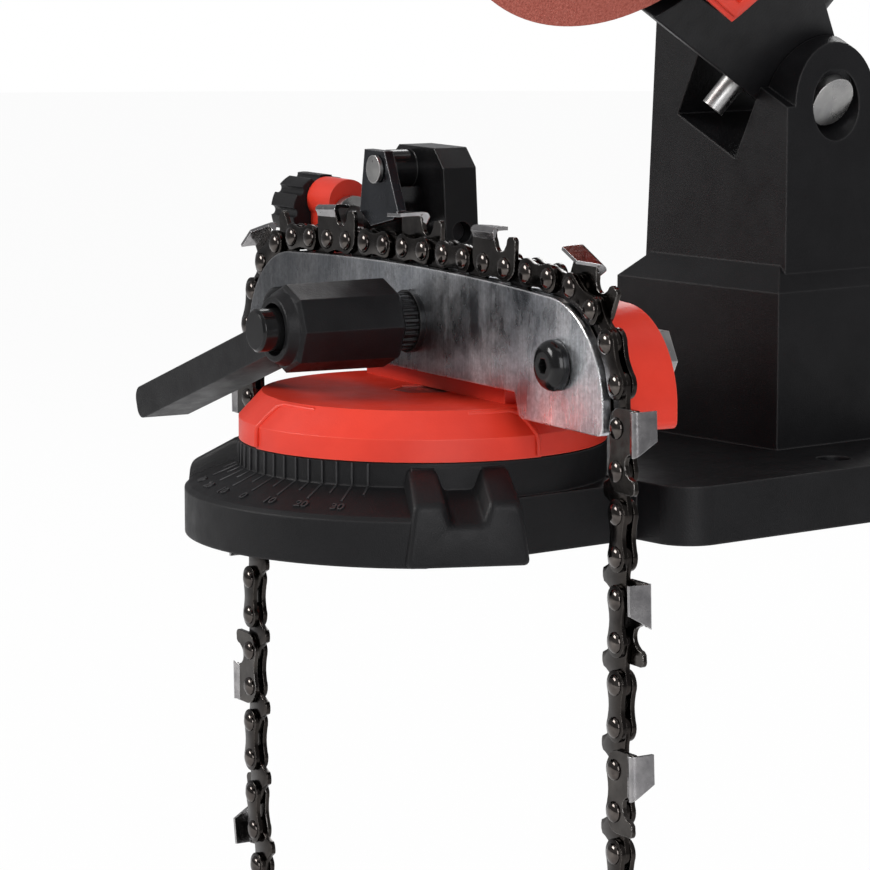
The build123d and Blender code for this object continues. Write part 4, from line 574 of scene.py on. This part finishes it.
def build_chain():
    """Links, cutters and rivets in detail, in place of the plain links."""
    strap = prism(side_outline(), 0.0, SIDE_T, STRAP_EDGE)
    drive = prism(drive_outline(), -GAUGE / 2, GAUGE / 2, DRIVE_EDGE)
    side = prism(cutter_outline(), 0.0, SIDE_T, CUTTER_EDGE, segments=1)
    roof = cutter_roof()
    head = rivet_head()
    near_side = Matrix.Identity(4)
    far_side = Matrix.Scale(-1.0, 4, (0.0, 0.0, 1.0))
    face = (GAUGE + SIDE_PLAY) / 2
    inner = Matrix.Translation((0.0, 0.0, face))
    outer = Matrix.Translation((0.0, 0.0, face + SIDE_T))
    straps, drives, sides, roofs, rivets = (bmesh.new() for _ in range(5))
    for k in range(DRIVE_LINKS):
        merge(drives, drive, link_matrix(2 * k), keep=True)
        place = link_matrix(2 * k - 1)
        for flip, cutter_phase in ((near_side, NEAR_CUTTERS), (far_side, FAR_CUTTERS)):
            if k % CUTTER_EVERY == cutter_phase:
                merge(sides, side, place @ flip @ inner, keep=True)
                merge(roofs, roof, place @ flip @ outer, keep=True)
            else:
                merge(straps, strap, place @ flip @ inner, keep=True)
            for x in (-HALF_PITCH / 2, HALF_PITCH / 2):
                turn = Matrix.Rotation(random.uniform(0.0, RIVET_TURN), 4, "Z")
                spot = Matrix.Translation((x, 0.0, face + SIDE_T))
                merge(rivets, head, place @ flip @ spot @ turn, keep=True)
    for bm in (strap, drive, side, roof, head):
        bm.free()
    made = to_object("chain_straps_look", straps, "chain_steel", "turntable")
    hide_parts("chain_tie_straps")
    made = to_object("chain_drives_look", drives, "chain_steel", "turntable")
    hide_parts("chain_drive_links")
    made = to_object("cutter_sides_look", sides, "cutter_side", "turntable")
    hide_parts("chain_cutters")
    to_object("cutter_roofs_look", roofs, "cutter_chrome", "turntable")
    to_object("chain_rivets_look", rivets, "rivet_steel", "turntable")


# ---------------------------------------------------------------- angle scale on the base
def radial_matrix(bearing, r, height):
    """X outwards, Y along the ring, Z up, at a bearing from the machine's front in degrees."""
    a = math.radians(bearing)
    out = Vector((math.sin(a), -math.cos(a), 0.0))
    along = Vector((math.cos(a), math.sin(a), 0.0))
    return axes(TABLE + out * r + UP * height, out, along, UP)


def block(size, centre=(0.0, 0.0, 0.0), edge=0.1):
    """Box with rounded edges."""
    bm = bmesh.new()
    bmesh.ops.create_cube(bm, size=1.0)
    bm.transform(Matrix.Translation(centre) @ Matrix.Diagonal((*size, 1.0)))
    bmesh.ops.bevel(bm, geom=bm.edges[:], offset=edge, segments=2, affect="EDGES", profile=0.5)
    return bm


RING_WALL_R = 44.0
RING_EDGE_H = 11.5
WALL_FOOT_H = 16.5
SLOPE_REACH = 12.0
SLOPE = math.atan2(WALL_FOOT_H - RING_EDGE_H, SLOPE_REACH)
SCALE_STEP = 5.0
SCALE_HALF = 7
RIB_R, RIB_MIDDLE = 44.1, 19.2
RIB_SIZE = (0.6, 0.45, 5.3)
LINE_START, LONG_LINE, SHORT_LINE = 44.2, 6.5, 3.5
LINE_W, LINE_H = 0.5, 0.45
NUMBERED = (-30, -20, -10, 0, 10, 20, 30)
NUMBER_R, NUMBER_SIZE, NUMBER_RAISE = 53.0, 3.4, 0.1
NUMBER_DEPTH, NUMBER_EDGE = 0.22, 0.04


def slope_matrix(bearing, r, raised=0.0):
    """Frame lying on the ring's slope: X down the slope, Z off it."""
    height = WALL_FOOT_H - (r - RING_WALL_R) * math.tan(SLOPE)
    return radial_matrix(bearing, r, height + raised) @ Matrix.Rotation(SLOPE, 4, "Y")


def number_mesh(text):
    """Plain raised number, lying on its back round its middle."""
    curve = bpy.data.curves.new("scale_number", "FONT")
    curve.body = text
    curve.size = NUMBER_SIZE
    curve.extrude = NUMBER_DEPTH
    curve.bevel_depth = NUMBER_EDGE
    curve.align_x = "CENTER"
    curve.align_y = "CENTER"
    holder = bpy.data.objects.new("scale_number_tmp", curve)
    bpy.context.scene.collection.objects.link(holder)
    mesh = bpy.data.meshes.new_from_object(holder.evaluated_get(bpy.context.evaluated_depsgraph_get()))
    bpy.data.objects.remove(holder)
    bpy.data.curves.remove(curve)
    bm = bmesh.new()
    bm.from_mesh(mesh)
    bpy.data.meshes.remove(mesh)
    return bm


def build_scale():
    """Raised ribs round the ring's wall, lines on its sloping rim and plain numbers."""
    ribs = bmesh.new()
    for i in range(-SCALE_HALF, SCALE_HALF + 1):
        bearing = i * SCALE_STEP
        merge(ribs, block(RIB_SIZE), radial_matrix(bearing, RIB_R, RIB_MIDDLE))
        length = LONG_LINE if i % 2 == 0 else SHORT_LINE
        merge(ribs, block((length, LINE_W, LINE_H)), slope_matrix(bearing, LINE_START + length / 2))
    to_object("scale_ribs", ribs, "scale_mark", "base")
    read_from_front = Matrix.Rotation(math.radians(90.0), 4, "Z")
    for degrees in NUMBERED:
        name = "scale_number_%s%d" % ("left_" if degrees < 0 else "", abs(degrees))
        place = slope_matrix(degrees, NUMBER_R, NUMBER_RAISE) @ read_from_front
        to_object(name, number_mesh(str(abs(degrees))), "scale_mark", "base", place)


# ---------------------------------------------------------------- notched blocks on the base
BLOCK_BEARINGS = (62.0, -62.0)
BLOCK_FRONT = 57.2
BLOCK_STATIONS = (40.0, 46.0, 50.0)
BLOCK_TURNS = (0.0, 20.0, 40.0, 60.0, 80.0)     # degrees round the rounded front edge
BLOCK_EDGE = 1.5
BLOCK_HALF_W = 14.4
BLOCK_DRAFT = 0.135
BLOCK_LEAN = 0.05
BLOCK_FRONT_H = 14.3
BLOCK_LIP_REACH = 56.5
BLOCK_RISE = 0.566
BLOCK_TOP_H = 21.5
FOOT_ROUND = 1.2
TOP_ROUND = 1.6
NOTCH_HALF = 5.3
NOTCH_FLOOR_HALF = 3.5
NOTCH_DEPTH = 5.0


def rounded(corners, count=4):
    """Open line through (x, y, radius) corners, each rounded by its radius."""
    line = []
    for i, (x, y, r) in enumerate(corners):
        here = Vector((x, y))
        if r == 0.0 or i in (0, len(corners) - 1):
            line.append(here)
            continue
        back = (Vector(corners[i - 1][:2]) - here).normalized()
        ahead = (Vector(corners[i + 1][:2]) - here).normalized()
        half = back.angle(ahead) / 2
        reach = r / math.tan(half)
        centre = here + (back + ahead).normalized() * (r / math.sin(half))
        start, end = here + back * reach - centre, here + ahead * reach - centre
        turn = start.angle_signed(end)
        for k in range(count):
            spin = Matrix.Rotation(-turn * k / (count - 1), 2)
            line.append(centre + spin @ start)
    return line


def block_station(x, inset):
    """Points round a block at a distance out, its front edges drawn in by inset."""
    lip = BLOCK_LIP_REACH - (x - BLOCK_LEAN * BLOCK_FRONT_H)
    top = min(BLOCK_TOP_H, BLOCK_FRONT_H + lip * BLOCK_RISE) - inset
    half_foot = BLOCK_HALF_W - inset
    half_top = BLOCK_HALF_W - BLOCK_DRAFT * top - inset
    right = [(half_foot, inset, FOOT_ROUND), (half_top, top, TOP_ROUND),
             (NOTCH_HALF + inset, top, FOOT_ROUND), (NOTCH_FLOOR_HALF + inset, top - NOTCH_DEPTH, TOP_ROUND)]
    left = [(-y, z, r) for y, z, r in right]
    middle = (0.0, inset, 0.0)
    corners = [middle] + left + right[::-1] + [middle]
    return [Vector((x - BLOCK_LEAN * p.y, p.x, p.y)) for p in rounded(corners)[:-1]]


def build_blocks():
    """Rounded forms of the two notched blocks, fitted over the plain ones."""
    looks = bmesh.new()
    stations = [(x, 0.0) for x in BLOCK_STATIONS]
    stations += [(BLOCK_FRONT - BLOCK_EDGE * (1 - math.sin(a)), BLOCK_EDGE * (1 - math.cos(a)))
                 for a in map(math.radians, BLOCK_TURNS)]
    for bearing in BLOCK_BEARINGS:
        bm = bmesh.new()
        skin(bm, [[bm.verts.new(v) for v in block_station(x, inset)] for x, inset in stations])
        bmesh.ops.recalc_face_normals(bm, faces=bm.faces)
        merge(looks, bm, radial_matrix(bearing, 0.0, 0.0))
    to_object("base_blocks_look", looks, "black_casting", "base")


# ---------------------------------------------------------------- head, knobs and fasteners
def closed_lathe(profile, count):
    """Ring-shaped solid of revolution: the profile runs round a bore and closes on itself."""
    bm = lathe(profile + profile[:1], count)
    bmesh.ops.remove_doubles(bm, verts=bm.verts, dist=WELD)
    return bm


def band(outer, inner, z0, z1, edge):
    """Closed frame between two outlines with as many points each, rounded at z1."""
    bm = bmesh.new()
    loops = [[bm.verts.new((x, y, z)) for x, y in line]
             for line, z in ((outer, z0), (outer, z1), (inner, z1), (inner, z0))]
    skin(bm, loops + loops[:1], closed=False)
    bmesh.ops.recalc_face_normals(bm, faces=bm.faces)
    rims = [e for e in bm.edges if abs(e.verts[0].co.z - z1) + abs(e.verts[1].co.z - z1) < WELD]
    bmesh.ops.bevel(bm, geom=rims, offset=edge, segments=2, affect="EDGES", profile=0.5)
    return bm


def tube(points, r, count=10):
    """Round wire along points."""
    bm = bmesh.new()
    rings = []
    side = (points[1] - points[0]).normalized().orthogonal()
    for i, point in enumerate(points):
        ahead = (points[min(i + 1, len(points) - 1)] - points[max(i - 1, 0)]).normalized()
        side = (side - ahead * side.dot(ahead)).normalized()
        over = ahead.cross(side)
        rings.append([bm.verts.new(point + (side * math.cos(a) + over * math.sin(a)) * r)
                      for a in (2 * math.pi * k / count for k in range(count))])
    skin(bm, rings)
    return bm


def socket_head(r, height, socket, depth, count=36):
    """Domed screw head with a hexagon socket, standing on Z = 0."""
    rim, flat, mouth = 0.35, 1.25, 0.1
    dome = [(r, 0.0), (r, height * rim)]
    dome += [(socket * flat + (r - socket * flat) * math.cos(math.radians(a)),
              height * (rim + (1 - rim) * math.sin(math.radians(a)))) for a in (20, 40, 60, 80, 90)]
    bm = bmesh.new()
    rings = [[bm.verts.new(spot) for spot in around(q, z, count)] for q, z in dome]
    for z in (height - mouth, height - depth):
        ring = []
        for i in range(count):
            a = 2 * math.pi * i / count
            q = socket / math.cos((a % (math.pi / 3)) - math.pi / 6)
            ring.append(bm.verts.new((q * math.cos(a), q * math.sin(a), z)))
        rings.append(ring)
    skin(bm, rings)
    return bm


GUARD_R = 62.5
SKIRT = 22.0
COVER_FACE = -12.5
CAP_END = 95.0
GRIP_R = 14.0
GRIP_L = 78.0
GRIP_END = 6.0
GRIP_RINGS = 11
GRIP_RING_START = 8.0
GRIP_RING_PITCH = 5.4
GRIP_GROOVE = 0.9
NECK_R = 9.0
HANDLE_ANGLE = math.radians(38.0)
HANDLE_PAD_REACH = 68.0
HANDLE_NECK_L = 14.0
COVER_BOSS_RING_R = 64.5
CAP_SCREW_RING_R = 24.5
COVER_SCREW_BEARINGS = (70.0, 125.0, 178.0)
CAP_SCREW_BEARINGS = (30.0, 150.0, 270.0)
COVER_RIM_INSETS = (1.2, 4.4)
COVER_RIM_H = 1.0
COVER_RIM_EDGE = 0.4
COVER_RIB_BEARINGS = (10.0, 50.0, 90.0, 130.0, 170.0)
COVER_RIB_SIZE = (39.0, 2.0, 1.0)
COVER_RIB_MIDDLE = (38.0, 0.0, COVER_FACE - 0.4)
COVER_RIB_EDGE = 0.4
MOTOR_RIBS = 20
MOTOR_RIB_SIZE = (1.6, 1.3, 31.0)
MOTOR_RIB_MIDDLE = (32.2, 0.0, 60.0)
MOTOR_RIB_EDGE = 0.45
SWITCH_CLEARANCE = 30.0         # degrees to each side of the switch box that have no ribs
GLAND_OFFSET = 19.0
SPRING_R = 6.6
SPRING_WIRE_R = 0.9
SPRING_PITCH = 2.0
SPRING_TURNS = 3
SPRING_LEG = 12.0
SPRING_START = 16.24
SPRING_STEPS = 28
LEG_STEPS = 4


def build_handle_grip():
    """Rubber grip with rings moulded round it."""
    out = FORE_DIR * math.cos(HANDLE_ANGLE) + RISE_DIR * math.sin(HANDLE_ANGLE)
    foot = HUB + AXIS_DIR + out * (HANDLE_PAD_REACH + HANDLE_NECK_L)
    profile = [(0.0, 0.0), (NECK_R, 0.0), (GRIP_R - 1.4, 0.0), (GRIP_R - 0.4, 0.4), (GRIP_R, 1.4)]
    wall, groove = GRIP_R - 0.35, GRIP_R - GRIP_GROOVE
    ring = ((GRIP_R, 0.0), (wall, 0.15), (groove, 0.6), (groove, 1.4), (wall, 1.85), (GRIP_R, 2.0))
    for i in range(GRIP_RINGS):
        z = GRIP_RING_START + GRIP_RING_PITCH * i
        profile += [(r, z + up) for r, up in ring]
    profile += arc_points((GRIP_R - GRIP_END, GRIP_L - GRIP_END), GRIP_END, 0.0, 90.0, 8)
    profile.append((0.0, GRIP_L))
    place = axes(foot, AXIS_DIR, out.cross(AXIS_DIR), out)
    grip = to_object("handle_grip_look", lathe(profile, count=48), "grip_rubber", "head",
                     place)
    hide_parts("handle_grip")


def guard_outline(inset, count=56):
    """Guard's face: round above, straight along the skirt."""
    r, low = GUARD_R - inset, SKIRT - inset
    a = math.degrees(math.asin(low / r))
    return arc_points((0.0, 0.0), r, -a, 180.0 + a, count)


def on_ring(r, bearing, z):
    """Place on a circle about the wheel's axis."""
    a = math.radians(bearing)
    return Matrix.Translation((r * math.cos(a), r * math.sin(a), z))


def build_cover_trim():
    """Raised rim, hub and stiffening ribs of the wheel cover, and the screws of cover and end cap."""
    outside, inside = (guard_outline(inset) for inset in COVER_RIM_INSETS)
    trim = band(outside, inside, COVER_FACE, COVER_FACE - COVER_RIM_H, COVER_RIM_EDGE)
    hub = [(0.0, 0.1), (16.0, 0.1), (15.0, 1.1), (14.0, 1.5), (10.5, 1.5), (10.0, 1.2), (9.6, 0.6),
           (0.0, 0.6)]
    merge(trim, lathe(hub, count=48), Matrix.Translation((0.0, 0.0, COVER_FACE)) @ TURN_OVER)
    for bearing in COVER_RIB_BEARINGS:
        rib = block(COVER_RIB_SIZE, COVER_RIB_MIDDLE, COVER_RIB_EDGE)
        merge(trim, rib, Matrix.Rotation(math.radians(bearing), 4, "Z"))
    to_object("wheel_cover_trim", trim, "red_plastic", "head", WHEEL)
    heads = bmesh.new()
    head = socket_head(r=3.4, height=2.2, socket=1.4, depth=1.3)
    for bearing in COVER_SCREW_BEARINGS:
        merge(heads, head, on_ring(COVER_BOSS_RING_R, bearing, COVER_FACE) @ TURN_OVER, keep=True)
    for bearing in CAP_SCREW_BEARINGS:
        merge(heads, head, on_ring(CAP_SCREW_RING_R, bearing, CAP_END), keep=True)
    head.free()
    screws = to_object("cover_screws_look", heads, "zinc_steel", "head", WHEEL)
    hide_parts("cover_screws")


def build_motor_trim():
    """Cooling ribs along the motor case, clear of the switch."""
    ribs = bmesh.new()
    pitch = 360.0 / MOTOR_RIBS
    for i in range(MOTOR_RIBS):
        bearing = pitch * (i + 0.5)
        if SWITCH_CLEARANCE <= bearing <= 360.0 - SWITCH_CLEARANCE:
            rib = block(MOTOR_RIB_SIZE, MOTOR_RIB_MIDDLE, MOTOR_RIB_EDGE)
            merge(ribs, rib, Matrix.Rotation(math.radians(bearing), 4, "Z"))
    to_object("motor_ribs", ribs, "red_plastic", "head", WHEEL)


def build_gland():
    """Cable gland with bending ribs that taper towards its mouth."""
    bore, flange, neck, mouth, length = 3.6, 6.9, 5.6, 4.6, 12.0
    rib_count, rib_start, rib_pitch, taper, groove = 4, 4.4, 1.8, 0.25, 0.6
    profile = [(bore, 0.0), (flange, 0.0), (flange, 3.6), (neck, 4.2)]
    for i in range(rib_count):
        z = rib_start + rib_pitch * i
        r = neck - taper * i
        profile += [(r, z), (r, z + 0.9), (r - groove, z + 1.1), (r - groove, z + 1.6)]
    profile += [(mouth, length), (bore, length)]
    place = WHEEL @ Matrix.Translation((-GLAND_OFFSET, 0.0, CAP_END))
    made = to_object("cable_gland_look", closed_lathe(profile, count=32), "black_plastic", "head",
                     place)
    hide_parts("cable_gland")


def build_spring():
    """Round wire of the return spring: turns about the hinge and a straight leg."""
    turns = [2 * math.pi * i / SPRING_STEPS for i in range(SPRING_STEPS * SPRING_TURNS + 1)]
    points = [Vector((SPRING_R * math.cos(a), SPRING_R * math.sin(a), SPRING_PITCH * a / (2 * math.pi)))
              for a in turns]
    points += [points[-1] + Vector((0.0, SPRING_LEG * i / LEG_STEPS, 0.0)) for i in range(1, LEG_STEPS + 1)]
    place = axes(HINGE + AXIS_DIR * SPRING_START, FRONT, AXIS_DIR.cross(FRONT), AXIS_DIR)
    made = to_object("return_spring_look", tube(points, SPRING_WIRE_R), "zinc_steel", "base",
                     place)
    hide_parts("return_spring")


# ---------------------------------------------------------------- turntable
BEAD_R = 0.55
BEAD_ENDS = ((-8.3, 1.0), (87.6, -1.0))     # bearing, and the way round to the panel
BEAD_SIDE = ((45.0, 22.9, 0.0), (45.0, 25.2, 0.0), (44.9, 27.4, 0.3), (42.6, 29.9, 1.2),
             (40.4, 32.2, 3.0))             # radius, height, degrees round
BEAD_TOP_R = 39.6
BEAD_TOP_H = 32.9
BEAD_TOP_STEP = 3.0
BEAD_TOP_COUNT = 6
BEAD_TOP_DROP = 0.05


def build_disc_beads():
    """Soft raised ends of the panel round the turntable's front."""
    beads = bmesh.new()
    top = [(BEAD_TOP_R, BEAD_TOP_H - BEAD_TOP_DROP * i, BEAD_TOP_STEP * (i + 1))
           for i in range(1, BEAD_TOP_COUNT + 1)]
    for end, turn in BEAD_ENDS:
        points = []
        for r, z, degrees in [*BEAD_SIDE, *top]:
            a = math.radians(end + turn * degrees)
            points.append(TABLE + Vector((r * math.sin(a), -r * math.cos(a), z)))
        merge(beads, tube(points, BEAD_R, count=12))
    to_object("turntable_disc_beads", beads, "red_plastic", "turntable")


# ---------------------------------------------------------------- camera, light, floor
CAMERA_AZIMUTH = math.radians(51.35)
CAMERA_ELEVATION = math.radians(8.09)
CAMERA_DISTANCE = 912.8
IMAGE_SIZE = 870.0
FOCAL_PX = 4.169 * CAMERA_DISTANCE
TABLE_PX = (423.0, 527.3)       # where the turntable's axis meets the bench in the photograph
SENSOR = 36.0
FLOOR_R = 6.0
FLOOR_GAP = 0.002
FLOOR_GLOW = 0.955              # share of plain white that the camera sees on the floor
LIGHT_TARGET = (0.0, -0.09, 0.05)
WHITE = (1.0, 1.0, 1.0, 1.0)
ROOM_LOW = (0.20, 0.20, 0.205)
ROOM_HIGH = (0.36, 0.36, 0.37)


def build_camera():
    """Camera at the photograph's angle, moved sideways so that the table lands at its place."""
    a, e, d = CAMERA_AZIMUTH, CAMERA_ELEVATION, CAMERA_DISTANCE
    back = Vector((math.sin(a) * math.cos(e), -math.cos(a) * math.cos(e), math.sin(e)))
    right = Vector((math.cos(a), math.sin(a), 0.0))
    up = back.cross(right)
    place = TABLE + back * d
    place -= right * ((TABLE_PX[0] - IMAGE_SIZE / 2) * d / FOCAL_PX)
    place += up * ((TABLE_PX[1] - IMAGE_SIZE / 2) * d / FOCAL_PX)
    data = bpy.data.cameras.new("camera")
    data.sensor_width = SENSOR
    data.lens = SENSOR * FOCAL_PX / IMAGE_SIZE
    data.clip_start = 0.05
    data.clip_end = 50.0
    camera = bpy.data.objects.new("camera", data)
    bpy.context.scene.collection.objects.link(camera)
    camera.matrix_world = axes(place * MM, right, up, back)
    bpy.context.scene.camera = camera


def area_light(name, place, size, power, colour=(1.0, 1.0, 1.0)):
    """Rectangular lamp, sizes in metres, that faces the vise."""
    data = bpy.data.lights.new(name, "AREA")
    data.shape = "RECTANGLE"
    data.size, data.size_y = size
    data.energy = power
    data.color = colour
    lamp = bpy.data.objects.new(name, data)
    bpy.context.scene.collection.objects.link(lamp)
    lamp.location = place
    lamp.rotation_mode = "QUATERNION"
    lamp.rotation_quaternion = (Vector(place) - Vector(LIGHT_TARGET)).to_track_quat("Z", "Y")


def build_world():
    """Soft grey room for the light, white where the camera sees past the object."""
    world = bpy.data.worlds.new("studio")
    bpy.context.scene.world = world
    world.use_nodes = True
    nt = world.node_tree
    room = nt.nodes["Background"]
    room.inputs["Strength"].default_value = 1.0
    coords = nt.nodes.new("ShaderNodeTexCoord").outputs["Generated"]
    split = nt.nodes.new("ShaderNodeSeparateXYZ")
    nt.links.new(coords, split.inputs[0])
    height = spread(nt, split.outputs["Z"], 0.0, 1.0, -0.4, 0.9)
    shade = mix(nt, height, ROOM_LOW, ROOM_HIGH)
    nt.links.new(shade, room.inputs["Color"])
    white = nt.nodes.new("ShaderNodeBackground")
    white.inputs["Color"].default_value = WHITE
    path = nt.nodes.new("ShaderNodeLightPath")
    seen = nt.nodes.new("ShaderNodeMath")
    seen.operation = "MAXIMUM"
    nt.links.new(path.outputs["Is Camera Ray"], seen.inputs[0])
    nt.links.new(path.outputs["Is Transmission Ray"], seen.inputs[1])
    blend = nt.nodes.new("ShaderNodeMixShader")
    nt.links.new(seen.outputs[0], blend.inputs["Fac"])
    nt.links.new(room.outputs[0], blend.inputs[1])
    nt.links.new(white.outputs[0], blend.inputs[2])
    nt.links.new(blend.outputs[0], nt.nodes["World Output"].inputs["Surface"])


def build_floor():
    """Plain pale floor under the hanging chain."""
    low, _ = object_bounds()
    bm = bmesh.new()
    bmesh.ops.create_circle(bm, cap_ends=True, segments=96, radius=FLOOR_R)
    mesh = bpy.data.meshes.new("floor")
    bm.to_mesh(mesh)
    bm.free()
    floor = bpy.data.objects.new("floor", mesh)
    floor.location = (0.0, 0.0, low.z - FLOOR_GAP)
    bpy.context.scene.collection.objects.link(floor)
    material = bpy.data.materials.new("floor")
    material.use_nodes = True
    nt = material.node_tree
    shader = nt.nodes["Principled BSDF"]
    shader.inputs["Base Color"].default_value = (0.86, 0.86, 0.86, 1.0)
    shader.inputs["Roughness"].default_value = 0.9
    shader.inputs["Specular IOR Level"].default_value = 0.1
    glow = nt.nodes.new("ShaderNodeEmission")
    glow.inputs["Color"].default_value = WHITE
    blend = nt.nodes.new("ShaderNodeMixShader")
    path = nt.nodes.new("ShaderNodeLightPath")
    nt.links.new(multiply(nt, path.outputs["Is Camera Ray"], FLOOR_GLOW), blend.inputs["Fac"])
    nt.links.new(shader.outputs[0], blend.inputs[1])
    nt.links.new(glow.outputs[0], blend.inputs[2])
    nt.links.new(blend.outputs[0], nt.nodes["Material Output"].inputs["Surface"])
    mesh.materials.append(material)


def build_lights():
    """Large soft lamps: key from the left front, fill from the right, one above and one behind."""
    area_light("key", (-0.80, -1.30, 0.85), (0.7, 0.6), 17.0, (1.0, 0.99, 0.98))
    area_light("fill_right", (1.4, -0.75, 0.55), (0.8, 1.0), 13.0, (0.98, 0.98, 1.0))
    area_light("top", (0.15, 0.05, 1.6), (1.2, 1.0), 5.0)
    area_light("rim", (-0.9, 1.2, 0.9), (0.8, 0.8), 9.0)


bpy.context.scene.view_settings.view_transform = "Standard"
dress_cad_nodes()
build_chain()
build_scale()
build_blocks()
build_handle_grip()
build_cover_trim()
build_motor_trim()
build_gland()
build_spring()
build_disc_beads()
build_world()
build_floor()
build_lights()
build_camera()
